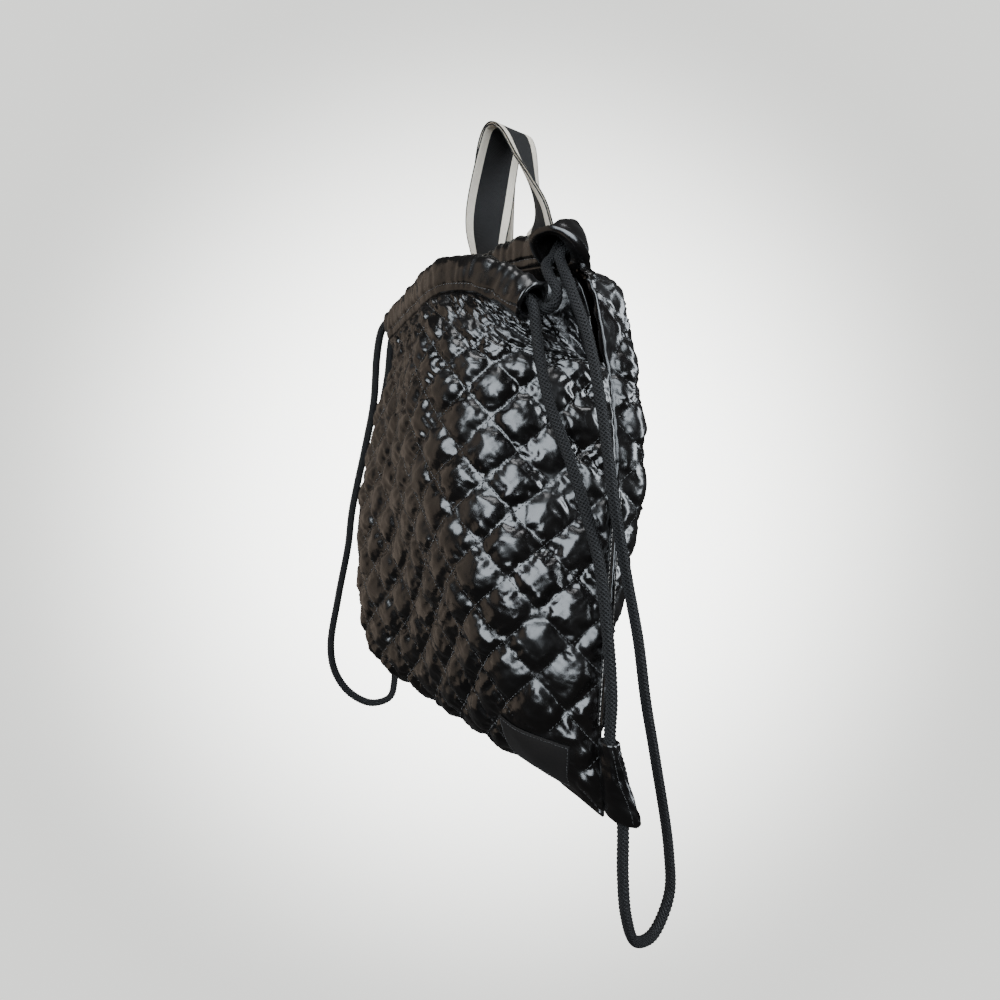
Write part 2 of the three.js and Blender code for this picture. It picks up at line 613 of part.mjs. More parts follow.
// The label: a thin plate that follows the front panel.
function labelPlate() {
  const [left, right, top, bottom] = LABEL_PLACE;
  const [columns, rows] = [6, 4];
  const layers = [CLEARANCE * 2, CLEARANCE * 2 + LABEL_THICKNESS];
  const count = (columns + 1) * (rows + 1);
  const index = (layer) => (i, j) => layer * count + j * (columns + 1) + i;
  const points = layers.flatMap((height) => {
    const layer = [];
    for (let j = 0; j <= rows; j += 1) {
      for (let i = 0; i <= columns; i += 1) {
        const across = mix(left, right, i / columns);
        const down = mix(top, bottom, j / rows);
        const normal = surfaceNormal(frontSurface, 1, across, down);
        layer.push(frontSurface(across, down).addScaledVector(normal, height));
      }
    }
    return layer;
  });
  const [under, over] = [index(0), index(1)];
  const triangles = [];
  for (let j = 0; j < rows; j += 1) {
    for (let i = 0; i < columns; i += 1) {
      triangles.push([over(i, j), over(i, j + 1), over(i + 1, j + 1)]);
      triangles.push([over(i, j), over(i + 1, j + 1), over(i + 1, j)]);
      triangles.push([under(i, j), under(i + 1, j + 1), under(i, j + 1)]);
      triangles.push([under(i, j), under(i + 1, j), under(i + 1, j + 1)]);
    }
  }
  const [lower, upper] = [gridEdge(columns, rows, under), gridEdge(columns, rows, over)];
  lower.forEach((near, k) => {
    const next = (k + 1) % lower.length;
    triangles.push([upper[next], upper[k], near], [upper[next], near, lower[next]]);
  });
  return closedGeometry(points, triangles);
}

const frontSurface = bagSurface(frontSection);
const backSurface = bagSurface(backSection);

const hanging = new THREE.Group();
hanging.position.set(-HOOK_X, -HOOK_Y, -HOOK_Z);

const finishes = {
  nylon: new THREE.MeshStandardMaterial({ color: 0x101012, roughness: 0.22, metalness: 0 }),
  webbing: new THREE.MeshStandardMaterial({ color: 0x1c1a1b, roughness: 0.6, metalness: 0 }),
  cord: new THREE.MeshStandardMaterial({ color: 0x1d1e20, roughness: 0.7, metalness: 0 }),
  label: new THREE.MeshStandardMaterial({ color: 0x2a2622, roughness: 0.8, metalness: 0 }),
};

function addPiece(name, geometry, finish) {
  const piece = new THREE.Mesh(geometry, finishes[finish]);
  piece.name = name;
  hanging.add(piece);
}

addPiece('front_panel', paddedPanel(frontSurface, 1), 'nylon');
addPiece('back_panel', paddedPanel(backSurface, -1), 'nylon');

const frontCasing = casingCurve(frontSurface, 1, 0.005, 0.985, []);
const backCasing = casingCurve(backSurface, -1, 0.005, 0.97, [[0.18, -0.35, -0.1], [0.2, -0.75, -0.5]]);
const frontStations = casingStations(frontCasing);
const backStations = casingStations(backCasing);
addPiece('front_casing', gatheredCasing(frontStations, 0, 1.2), 'nylon');
addPiece('back_casing', gatheredCasing(backStations, 0.25, 1.5), 'nylon');

const innerRows = finerRows([...HANDLE_RIGHT, ...HANDLE_LEFT_INNER], 30);
const outerRows = finerRows([...HANDLE_RIGHT, ...HANDLE_LEFT_OUTER], 30);
addPiece('handle_inner', webbingStrip(innerRows, 0), 'webbing');
addPiece('handle_outer', webbingStrip(outerRows, 1), 'webbing');

addPiece('right_corner_tab', cornerTab(vector(190, 1, 26), vector(196, 8, -30), 8), 'nylon');
addPiece('left_corner_tab', cornerTab(vector(-188, 20, 22), vector(-188, 20, -28), 112), 'nylon');
addPiece('right_seam_binding', seamBinding(1, vector(0.8, -0.6, 0), 0.46, 0.85), 'nylon');
addPiece('left_seam_binding', seamBinding(0, vector(-0.9, -0.4, 0), 0.30, 0.88), 'nylon');
addPiece('label_patch', labelPlate(), 'label');

// Each cord is a closed loop. Its strap hangs free through a corner tab; the casings hold the rest.
const rightLoop = [
  ...heldRun(frontStations, -1, 1).reverse(),
  ...placed(LEFT_CROSSING_POINTS),
  ...heldRun(backStations, -1, -1),
  ...placed(RIGHT_STRAP_POINTS).reverse(),
];
const leftLoop = [
  ...heldRun(backStations, 1, 1),
  ...placed(RIGHT_CROSSING_POINTS),
  ...heldRun(frontStations, 1, -1).reverse(),
  ...placed(LEFT_STRAP_POINTS),
];
const rightHeld = rightLoop.length - RIGHT_STRAP_POINTS.length;
const leftHeld = leftLoop.length - LEFT_STRAP_POINTS.length;
addPiece('right_strap_cord', cordPiece(rightLoop, rightHeld - 4, rightLoop.length + 1), 'cord');
addPiece('left_strap_cord', cordPiece(leftLoop, leftHeld - 3, leftLoop.length + 1), 'cord');
addPiece('right_cord_in_casings', cordPiece(rightLoop, 1, rightHeld - 4), 'cord');
addPiece('left_cord_in_casings', cordPiece(leftLoop, 1, leftHeld - 3), 'cord');

export default hanging;
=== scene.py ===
import math

import bpy
import numpy as np
from bpy.props import FloatProperty, IntProperty, PointerProperty
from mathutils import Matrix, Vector


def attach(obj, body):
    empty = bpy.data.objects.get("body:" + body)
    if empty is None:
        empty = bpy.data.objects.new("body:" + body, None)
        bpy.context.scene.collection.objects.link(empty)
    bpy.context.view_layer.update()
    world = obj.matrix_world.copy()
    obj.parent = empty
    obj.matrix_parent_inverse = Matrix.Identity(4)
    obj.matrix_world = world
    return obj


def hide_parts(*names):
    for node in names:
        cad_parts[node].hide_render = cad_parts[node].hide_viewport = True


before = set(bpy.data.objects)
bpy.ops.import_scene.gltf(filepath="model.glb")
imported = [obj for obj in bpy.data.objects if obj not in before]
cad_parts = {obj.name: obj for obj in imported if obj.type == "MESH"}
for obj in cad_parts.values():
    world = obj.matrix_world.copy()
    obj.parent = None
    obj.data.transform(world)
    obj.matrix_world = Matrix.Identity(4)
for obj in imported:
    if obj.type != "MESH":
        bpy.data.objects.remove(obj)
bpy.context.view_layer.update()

bl_info = {
    "name": "Quilted Drawstring Backpack",
    "version": (1, 0, 0),
    "blender": (4, 5, 0),
    "location": "3D View > Sidebar > Backpack",
    "description": "Builds a quilted drawstring backpack that hangs by its handle",
    "category": "Add Mesh",
}

# Driving dimensions in millimetres, in the bag's own frame
BAG_SIZE = np.array([370.0, 140.0, 400.0])
FLAT_WIDTH = 390.0
FLAT_HEIGHT = 430.0
PANEL_THICKNESS = 6.0
QUILT_DIAGONAL = 48.0
CLEARANCE = 0.4
CASING_HEIGHT = 29.0
CASING_THICKNESS = 15.5
CASING_WALL = 2.2
CASING_EASE = 0.7
CASING_RUFFLE_PITCH = 19.0
CORD_DIAMETER = 8.2
WEBBING_WIDTH = 46.0
WEBBING_THICKNESS = 1.6
HANDLE_RISE = 110.0
TAB_WIDTH = 27.0
TAB_THICKNESS = 13.0
BINDING_WIDTH = 7.0
LABEL_THICKNESS = 1.0
HOOK = np.array([-7.0, 58.0, 534.0])

# The label's left, right, top and bottom as shares of its panel, and how far its top slants
LABEL_PLACE = (0.79, 0.945, 0.885, 0.98)
LABEL_SLANT = 0.03

# How far the panels' bottom right corner is drawn towards its tab
CORNER_REACH = np.array([7.0, 1.0, -6.0])

# The cords' mesh and braid: the ribs' places, widths and heights are angles and shares
CORD_STEP, CORD_SIDES = 0.9, 28
RIB_ANGLE, RIB_WIDTH, RIB_HEIGHT = 0.42, 0.17, 0.15
RIB_DOT_PITCH = 3.2

# The casings' mesh, the pitches and height of their pleats, and where they are sewn down,
# from -1 at the foot to 1 at the top
CASING_STEP, CASING_SIDES = 2.1, 56
BROAD_PLEAT_PITCH, NARROW_PLEAT_PITCH, PLEAT_HEIGHT = 10.5, 5.6, 1.7
SEWN_AT = -0.62

# The gathers that hang from the casings over the panels, and the fine ones along the quilting
GATHER_PITCH, GATHER_HEIGHT, GATHER_REACH = 21, 2.6, 30
PUCKER_PITCH, PUCKER_REACH = 4.3, 6
LOFT_RANGE = (0.7, 1.3)

# The panels' cloth while it settles, at a centimetre to the millimetre
SETTLING_SCALE = 0.01
SETTLING_FRAMES = 16
SETTLING_FABRIC = {
    "quality": 4, "mass": 0.3, "air_damping": 2.0, "tension_stiffness": 12,
    "compression_stiffness": 12, "shear_stiffness": 4, "bending_stiffness": 0.06,
}

# How far the settled cloth may end up aside from its shape, and below or above it
MOST_ASIDE = 3.5
LEAST_RISE, MOST_RISE = -2.0, 5.5

# Radii of the stitches, and the label's own pitch
QUILTING_STITCH, SEWING_STITCH, SEAM_STITCH, LABEL_STITCH = 0.42, 0.36, 0.4, 0.3
LABEL_STITCH_PITCH = 2.6

# The camera: its place in metres, its lens in millimetres, and the way that it looks in degrees
CAMERA_PLACE = (0.480, -0.355, -0.315)
CAMERA_LENS, CAMERA_SENSOR = 21.6, 36.0
CAMERA_TURN, CAMERA_DROP = 54.2, 3.6

# The backdrop: a dome that glows most at one place and less with the distance from it
DOME_RADIUS = 4.0
DOME_CENTRE = (0, 0, -0.3)
GLOW_PLACE = (-3.2, 2.3, -0.35)
GLOW_RANGE = {"From Min": 0.9, "From Max": 3.3, "To Min": 6.2, "To Max": 1.4}
GLOW_COLOUR = (0.99, 1.0, 0.965, 1)
ROOM_COLOUR = (0.55, 0.52, 0.5, 1)
ROOM_STRENGTH = 0.08

# The lights: place, width and height in metres, share of the key power, and colour
LIGHTS = {
    "window": ((0.75, -1.3, 0.25), 1.3, 1.5, 1.45, (0.84, 0.92, 1.0)),
    "room": ((-1.5, -1.15, -0.2), 2.4, 2.6, 0.24, (1.0, 0.80, 0.63)),
    "overhead": ((0.35, -0.2, 1.2), 0.7, 0.6, 0.2, (0.97, 0.98, 1.0)),
    "rim": ((1.1, 0.7, 0.1), 0.5, 1.1, 0.65, (0.86, 0.93, 1.0)),
}

# Sections of the bag, top row to bottom row: shares of the width, depth and height
SEAM_COLUMNS = "down left_x left_y left_z right_x right_y right_z".split()
SEAM_SECTIONS = [
    [0.00, -0.318, -0.010, 0.890, 0.335, 0.080, 0.850],
    [0.10, -0.318, -0.010, 0.812, 0.368, 0.200, 0.800],
    [0.24, -0.378, -0.010, 0.702, 0.400, 0.280, 0.715],
    [0.42, -0.464, -0.010, 0.530, 0.436, 0.250, 0.530],
    [0.60, -0.494, -0.020, 0.350, 0.468, 0.130, 0.350],
    [0.78, -0.500, -0.020, 0.175, 0.482, 0.050, 0.165],
    [0.92, -0.494, -0.010, 0.048, 0.484, 0.010, 0.010],
    [1.00, -0.486, 0.000, -0.010, 0.480, 0.000, -0.062],
]
FRONT_COLUMNS = (
    "down middle_z crest roll_y ridge_x ridge_y flank_y valley_y end_x end_y end_z start_y start_z"
).split()
FRONT_SECTIONS = [
    [0.00, 0.898, 0.68, -0.12, 0.06, -0.27, -0.22, -0.16, -0.024, -0.200, -0.042, -0.10, -0.02],
    [0.10, 0.835, 0.62, -0.10, 0.07, -0.35, -0.24, -0.04, -0.004, -0.050, -0.050, -0.03, -0.01],
    [0.24, 0.725, 0.58, -0.11, 0.08, -0.42, -0.29, 0.04, 0.0, 0.0, 0.0, 0.0, 0.0],
    [0.42, 0.545, 0.55, -0.13, 0.10, -0.45, -0.31, 0.04, 0.0, 0.0, 0.0, 0.0, 0.0],
    [0.60, 0.350, 0.52, -0.15, 0.20, -0.42, -0.28, -0.02, 0.0, 0.0, 0.0, 0.0, 0.0],
    [0.78, 0.150, 0.50, -0.14, 0.30, -0.32, -0.21, -0.07, 0.0, 0.0, 0.0, 0.0, 0.0],
    [0.92, 0.000, 0.50, -0.09, 0.36, -0.19, -0.13, -0.06, 0.0, 0.0, 0.0, 0.0, 0.0],
    [1.00, -0.062, 0.50, 0.00, 0.37, 0.00, 0.00, 0.00, 0.0, 0.0, 0.0, 0.0, 0.0],
]
BACK_COLUMNS = (
    "down middle_z left_x left_y middle_y roll_x roll_y shoulder_x shoulder_y"
    " end_x end_y end_z start_y start_z"
).split()
BACK_SECTIONS = [
    [0.00, 0.990, -0.24, 0.27, 0.36, 0.20, 0.33, 0.29, 0.31, -0.005, 0.12, 0.080, 0.10, 0.01],
    [0.10, 0.905, -0.25, 0.34, 0.44, 0.27, 0.46, 0.37, 0.42, 0.0, 0.02, 0.090, 0.04, 0.01],
    [0.24, 0.740, -0.28, 0.42, 0.53, 0.32, 0.53, 0.420, 0.41, 0.0, 0.0, 0.0, 0.0, 0.0],
    [0.42, 0.550, -0.31, 0.46, 0.55, 0.36, 0.52, 0.452, 0.39, 0.0, 0.0, 0.0, 0.0, 0.0],
    [0.60, 0.350, -0.32, 0.42, 0.53, 0.35, 0.50, 0.445, 0.31, 0.0, 0.0, 0.0, 0.0, 0.0],
    [0.78, 0.150, -0.31, 0.28, 0.41, 0.33, 0.36, 0.430, 0.18, 0.0, 0.0, 0.0, 0.0, 0.0],
    [0.92, 0.010, -0.28, 0.11, 0.19, 0.33, 0.16, 0.420, 0.08, 0.0, 0.0, 0.0, 0.0, 0.0],
    [1.00, -0.062, -0.25, 0.0, 0.0, 0.33, 0.0, 0.420, 0.0, 0.0, 0.0, 0.0, 0.0, 0.0],
]

# The free routes of the cords, from the front casing to the back one
RIGHT_STRAP_POINTS = [
    [124, -15, 331], [129, -14, 300], [140, -13, 262], [154, -9, 228], [168, -5, 190],
    [181, -3, 152], [190, -2, 98], [192, 0, 57], [190, 1, 26], [193, 4.5, -2], [196, 8, -30],
    [196, 9, -70], [195, 14, -103], [192, 28, -131], [190, 50, -137], [189, 69, -116],
    [189, 68, -80], [189, 50, 0], [191, 36, 48], [192, 26, 94], [190, 16, 138], [188, 4, 193],
    [178, 3, 249], [160, 6, 306], [141, 6, 346],
]
LEFT_STRAP_POINTS = [
    [-130, -13, 368], [-141, -14, 360], [-150, -15, 336], [-160, -15, 286], [-172, -20, 239],
    [-193, -29, 163], [-202, -31, 121], [-208, -42, 59], [-208, -52, 2], [-205, -48, -29],
    [-200, -32, -56], [-194, -7, -72], [-189, 14, -68], [-188, 20, -48], [-188, 20, -28],
    [-188, 20, -4], [-188, 20, 26], [-194, 10, 52], [-199, -8, 84], [-200, -16, 118],
    [-196, -14, 166], [-184, -9, 220], [-168, -4, 270], [-154, 0, 318], [-147, 0, 346],
    [-141, 1, 363], [-132, 3.5, 376],
]
LEFT_CROSSING_POINTS = [[-124, -11.5, 358.5], [-128, -3, 360.5], [-124.5, 4, 365.5]]
RIGHT_CROSSING_POINTS = [
    [118.3, 2, 368], [125, -1, 357.5], [133, -0.4, 345.6], [132.2, -1.8, 335], [124, -5.5, 332.5],
]

# Rows of a tab, down its tunnel: reach in and out as shares of its width, and its thickness
TAB_COLUMNS = "down reach_in reach_out thick".split()
TAB_SECTIONS = [
    [0.00, 0.34, 0.26, 0.50],
    [0.25, 0.44, 0.32, 0.52],
    [0.50, 0.51, 0.40, 0.56],
    [0.75, 0.55, 0.58, 0.56],
    [0.92, 0.58, 0.62, 0.50],
    [1.00, 0.54, 0.50, 0.44],
]

# Rows of the handle: x, y and z as shares of its rise, and the turn of its width in degrees
HANDLE_RIGHT = [
    [0.43, -0.014, -0.20, 176],
    [0.45, -0.010, -0.04, 174],
    [0.47, -0.03, 0.10, 160],
    [0.42, -0.04, 0.30, 138],
    [0.28, -0.02, 0.58, 118],
    [0.13, 0.00, 0.90, 98],
    [0.00, 0.00, 1.007, 88],
]
HANDLE_LEFT_INNER = [
    [-0.10, 0.00, 0.92, 86],
    [-0.19, -0.02, 0.62, 72],
    [-0.26, -0.03, 0.34, 46],
    [-0.28, -0.02, 0.12, 18],
    [-0.29, 0.004, -0.04, 6],
    [-0.30, 0.004, -0.20, 4],
]
HANDLE_LEFT_OUTER = [
    [-0.11, 0.00, 0.93, 85],
    [-0.22, 0.02, 0.64, 76],
    [-0.31, 0.05, 0.34, 62],
    [-0.35, 0.06, 0.12, 34],
    [-0.32, 0.03, -0.04, 9],
    [-0.30, 0.018, -0.20, 4],
]


class BackpackSettings(bpy.types.PropertyGroup):
    """What can be changed before the backpack is built."""

    cloth_steps: IntProperty(
        name="Cloth steps", description="Mesh steps to a quarter of a quilt square's diagonal",
        default=6, min=2, max=6)
    loft: FloatProperty(
        name="Quilt loft", description="How high a quilt square stands before it swells",
        default=0.0028, unit="LENGTH", subtype="DISTANCE")
    swell: FloatProperty(
        name="Swell", description="Pressure of the padding while the cloth settles", default=0.7)
    slack: FloatProperty(
        name="Slack", description="How much longer the cloth is than the shape it covers",
        default=0.04, subtype="FACTOR")
    pucker: FloatProperty(
        name="Pucker", description="Height of the gathers along a line of stitches",
        default=0.0015, unit="LENGTH", subtype="DISTANCE")
    stitch_pitch: FloatProperty(
        name="Stitch pitch", description="Distance from one stitch to the next",
        default=0.0034, unit="LENGTH", subtype="DISTANCE")
    cord_diameter: FloatProperty(
        name="Cord diameter", description="Diameter of the strap cords",
        default=0.0082, unit="LENGTH", subtype="DISTANCE")
    key_power: FloatProperty(
        name="Key light", description="Power of the window-like key light",
        default=36.0, unit="POWER", subtype="POWER")


def settings():
    """What is set in the add-on's panel."""
    return bpy.context.scene.backpack


def to_row(points):
    """Points of the bag's frame in millimetres, in the row frame in metres."""
    return (np.asarray(points, float) - HOOK) / 1000


def unit(vectors):
    """The same directions with a length of 1."""
    length = np.linalg.norm(vectors, axis=-1, keepdims=True)
    return vectors / np.maximum(length, 1e-9)


def ease(value):
    """A smooth step from 0 to 1."""
    value = np.clip(value, 0, 1)
    return value * value * (3 - 2 * value)


def smooth_value(knots, values, at):
    """A smooth curve of values over knots, that passes through each and never beyond."""
    knots, values = np.asarray(knots, float), np.asarray(values, float)
    at = np.asarray(at, float)
    gaps = np.diff(knots)
    slopes = np.diff(values) / gaps
    inner = (slopes[:-1] * gaps[1:] + slopes[1:] * gaps[:-1]) / (gaps[:-1] + gaps[1:])
    inner = np.where(slopes[:-1] * slopes[1:] <= 0, 0, inner)
    tangents = np.concatenate([slopes[:1], inner, slopes[-1:]])
    k = np.clip(np.searchsorted(knots, at) - 1, 0, len(gaps) - 1)
    s = np.clip((at - knots[k]) / gaps[k], 0, 1)
    rise = s * s * (3 - 2 * s)
    leave = s * (1 - s) ** 2 * gaps[k] * tangents[k]
    arrive = s * s * (s - 1) * gaps[k] * tangents[k + 1]
    return values[k] + (values[k + 1] - values[k]) * rise + leave + arrive


def read_table(columns, rows, down):
    """The columns of a table by name, read smoothly at one share down or at several."""
    table = np.array(rows, float)
    return {name: smooth_value(table[:, 0], table[:, k], down) for k, name in enumerate(columns)}


def finer_rows(rows, count):
    """A table with count even steps from its first row to its last."""
    table = np.array(rows, float)
    knots = np.linspace(0, 1, len(rows))
    at = np.linspace(0, 1, count + 1)
    return np.stack([smooth_value(knots, table[:, k], at) for k in range(table.shape[1])], axis=1)


def section_ends(row, ends):
    """Where a section starts and ends: at the side seams, but for what its own panel adds."""
    left = (row["left_x"], row["left_y"] + ends["start_y"], row["left_z"] + ends["start_z"])
    right = (row["right_x"] + ends["end_x"], row["right_y"] + ends["end_y"],
             row["right_z"] + ends["end_z"])
    return left, right


def with_heights(across, left, right, middle, crest):
    """A section's points, each at the height of its place between the two ends."""
    points = []
    for x, y in across:
        share = (x - left[0]) / (right[0] - left[0])
        to_end = (crest - share) / crest if share < crest else (share - crest) / (1 - crest)
        end = left[2] if share < crest else right[2]
        points.append((x, y, middle + (end - middle) * to_end ** 1.6))
    return np.array(points) * BAG_SIZE


def front_section(down):
    """The points of the front panel's section at a share down the bag."""
    row = read_table(SEAM_COLUMNS, SEAM_SECTIONS, down)
    front = read_table(FRONT_COLUMNS, FRONT_SECTIONS, down)
    left, right = section_ends(row, front)
    roll = (left[0] + 0.03, front["roll_y"])
    ridge = (front["ridge_x"], front["ridge_y"])

    def mix(a, b, share):
        return a + (b - a) * share

    across = [
        left[:2], roll, (mix(roll[0], ridge[0], 0.55), mix(roll[1], ridge[1], 0.58)), ridge,
        (mix(ridge[0], right[0], 0.52), front["flank_y"]),
        (mix(ridge[0], right[0], 0.84), front["valley_y"]), right[:2],
    ]
    return with_heights(across, left, right, front["middle_z"], front["crest"])


def back_section(down):
    """The points of the back panel's section at a share down the bag."""
    row = read_table(SEAM_COLUMNS, SEAM_SECTIONS, down)
    back = read_table(BACK_COLUMNS, BACK_SECTIONS, down)
    left, right = section_ends(row, back)
    across = [
        left[:2], (back["left_x"], back["left_y"]), (0, back["middle_y"]),
        (back["roll_x"], back["roll_y"]), (back["shoulder_x"], back["shoulder_y"]), right[:2],
    ]
    return with_heights(across, left, right, back["middle_z"], 0.5)


def surface_row(section, across, down):
    """Points of one side of the bag at shares across, with the cloth spread evenly along them."""
    points = section(down)
    lengths = np.linalg.norm(np.diff(points, axis=0), axis=1)
    knots = np.concatenate([[0], np.cumsum(lengths)]) / lengths.sum()
    return np.stack([smooth_value(knots, points[:, axis], across) for axis in range(3)], axis=-1)


def surface_grid(section, across, down):
    """Rows of points of one side of the bag, one for each share down."""
    return np.stack([surface_row(section, across, d) for d in down])


def grid_normals(grid, facing):
    """The way out of the bag at each point of one side: facing is 1 in front and -1 behind."""
    return unit(np.cross(np.gradient(grid, axis=0), np.gradient(grid, axis=1))) * facing


def curve_through(points, closed=False, per=24):
    """Points of a smooth centripetal curve through points, per of them to each span."""
    points = np.asarray(points, float)
    count = len(points)
    if closed:
        around = np.concatenate([points[-1:], points, points[:2]])
    else:
        around = np.concatenate(
            [2 * points[:1] - points[1:2], points, 2 * points[-1:] - points[-2:-1]])
    made = []
    for k in range(count if closed else count - 1):
        p0, p1, p2, p3 = around[k:k + 4]
        d0, d1, d2 = (max(1e-4, np.linalg.norm(b - a) ** 0.5)
                      for a, b in ((p0, p1), (p1, p2), (p2, p3)))
        t1 = ((p1 - p0) / d0 - (p2 - p0) / (d0 + d1) + (p2 - p1) / d1) * d1
        t2 = ((p2 - p1) / d1 - (p3 - p1) / (d1 + d2) + (p3 - p2) / d2) * d1
        w = np.arange(per)[:, None] / per
        made.append(p1 + w * t1 + w ** 2 * (3 * (p2 - p1) - 2 * t1 - t2)
                    + w ** 3 * (2 * (p1 - p2) + t1 + t2))
    if not closed:
        made.append(points[-1:])
    return np.concatenate(made)


def run_along(path):
    """How far each point of a path is along it."""
    return np.concatenate([[0], np.cumsum(np.linalg.norm(np.diff(path, axis=0), axis=1))])


def read_along(values, lengths, at):
    """Rows of values that are known at some lengths along a line, read at others."""
    return np.stack([np.interp(at, lengths, values[:, k]) for k in range(3)], axis=1)


def spaced(path, count):
    """As many equal steps along a path as count says."""
    lengths = run_along(path)
    return read_along(path, lengths, np.linspace(0, lengths[-1], count + 1))


def path_length(path):
    """The length of a path through its points."""
    return float(np.linalg.norm(np.diff(path, axis=0), axis=1).sum())


def frames_along(path, first_side):
    """The direction of a path at each point, and two directions across it that don't twist."""
    along = unit(np.gradient(path, axis=0))
    side = np.empty_like(path)
    last = np.array(first_side, float)
    for k, way in enumerate(along):
        last = unit(last - way * last.dot(way))
        side[k] = last
    return along, side, np.cross(along, side)


def noise_line(at, seed):
    """Smooth noise from -1 to 1 along a line, one bump to each unit."""
    table = np.random.default_rng(seed).uniform(-1, 1, 1024)
    at = np.asarray(at, float)
    low = np.floor(at).astype(int)
    w = ease(at - low)
    return table[low % 1024] * (1 - w) + table[(low + 1) % 1024] * w


def noise_plane(u, v, seed):
    """Smooth noise from -1 to 1 over a plane, one bump to each unit."""
    table = np.random.default_rng(seed).uniform(-1, 1, (128, 128))
    iu, iv = np.floor(u).astype(int), np.floor(v).astype(int)
    a, b = ease(u - iu), ease(v - iv)
    corner = [[table[(iv + dv) % 128, (iu + du) % 128] for du in (0, 1)] for dv in (0, 1)]
    low = corner[0][0] * (1 - a) + corner[0][1] * a
    high = corner[1][0] * (1 - a) + corner[1][1] * a
    return low * (1 - b) + high * b


def lattice(rows, columns, closed=False):
    """Faces of a lattice of points, and the column and row of each face's corners."""
    across = columns if closed else columns - 1
    j, i = np.meshgrid(np.arange(rows - 1), np.arange(across), indexing="ij")
    j, i = j.ravel(), i.ravel()
    corners = [(j, i), (j + 1, i), (j + 1, i + 1), (j, i + 1)]
    faces = np.stack([r * columns + c % columns for r, c in corners], axis=1)
    places = np.stack([np.stack([c, r], axis=1) for r, c in corners], axis=1)
    return faces, places.astype(float)


def edge_loop(rows, columns, inset=0):
    """The rows and columns of a lattice's edge, or of a loop inset from it, once round."""
    last_row, last_column = rows - 1 - inset, columns - 1 - inset
    return ([(j, inset) for j in range(inset, last_row)]
            + [(last_row, i) for i in range(inset, last_column)]
            + [(j, last_column) for j in range(last_row, inset, -1)]
            + [(inset, i) for i in range(last_column, inset, -1)])


def faces_out(points, faces):
    """Whether the faces of a closed solid face out of it."""
    triangles = np.array([[f[0], f[k], f[k + 1]] for f in faces for k in range(1, len(f) - 1)])
    a, b, c = (points[triangles[:, k]] for k in range(3))
    return np.einsum("ij,ij->i", a, np.cross(b, c)).sum() > 0


def turned_out(points, faces, uvs):
    """A closed solid of four-sided faces, turned over if they face into it."""
    if not faces_out(points, faces):
        faces, uvs = [f[::-1] for f in faces], uvs[:, ::-1]
    return points, faces, uvs.reshape(-1, 2)


def ring_walls(rings, length_scale, around_scale):
    """Faces and UVs of the wall through closed rings, and how far along each ring is."""
    faces, places = lattice(*rings.shape[:2], closed=True)
    run = run_along(rings.mean(axis=1))
    uvs = np.stack([places[..., 0] / rings.shape[1] * around_scale,
                    run[places[..., 1].astype(int)] * length_scale], axis=-1)
    return faces, uvs, run


def tube_solid(rings, length_scale=1.0, around_scale=1.0):
    """Points, faces and UVs of a closed tube through rings of points, with flat ends."""
    count, sides = rings.shape[:2]
    points = rings.reshape(-1, 3)
    walls, uvs, _ = ring_walls(rings, length_scale, around_scale)
    first = list(range(sides))
    last = [(count - 1) * sides + k for k in range(sides)]
    faces = [list(f) for f in walls] + [first, last[::-1]]
    if not faces_out(points, faces):
        faces, uvs = [f[::-1] for f in faces], uvs[:, ::-1]
    return points, faces, np.concatenate([uvs.reshape(-1, 2), np.zeros((2 * sides, 2))])


def sleeve_solid(outer, inner, length_scale, around_scale):
    """Points, faces and UVs of a sleeve between outer and inner rings, joined at both ends."""
    count, sides = outer.shape[:2]
    points = np.concatenate([outer.reshape(-1, 3), inner.reshape(-1, 3)])
    walls, uvs, run = ring_walls(outer, length_scale, around_scale)
    base, last, end = count * sides, (count - 1) * sides, run[-1] * length_scale
    faces = [list(f) for f in walls] + [list(f[::-1]) for f in walls + base]
    ends = []
    for k in range(sides):
        n = (k + 1) % sides
        faces.append([k, n, base + n, base + k])
        faces.append([last + n, last + k, base + last + k, base + last + n])
        here, there = k / sides * around_scale, (k + 1) / sides * around_scale
        ends.append([[here, 0.0], [there, 0.0], [there, 0.0], [here, 0.0]])
        ends.append([[there, end], [here, end], [here, end], [there, end]])
    return turned_out(points, faces, np.concatenate([uvs, uvs[:, ::-1], ends]))


def sheet_solid(outer, inner, scale, rim_scale=(0, 0)):
    """Points, faces and UVs of a sheet between two grids of points, closed by a rim."""
    rows, columns = outer.shape[:2]
    points = np.concatenate([outer.reshape(-1, 3), inner.reshape(-1, 3)])
    walls, places = lattice(rows, columns)
    offset = rows * columns
    faces = [list(f) for f in walls] + [list(f[::-1]) for f in walls + offset]
    edge = edge_loop(rows, columns)
    rim = []
    for (j, i), (next_j, next_i) in zip(edge, edge[1:] + edge[:1]):
        a, b = j * columns + i, next_j * columns + next_i
        faces.append([b, a, offset + a, offset + b])
        here, there = np.multiply((i, j), rim_scale), np.multiply((next_i, next_j), rim_scale)
        rim.append([there, here, here, there])
    uvs = places * scale
    return turned_out(points, faces, np.concatenate([uvs, uvs[:, ::-1], rim]))


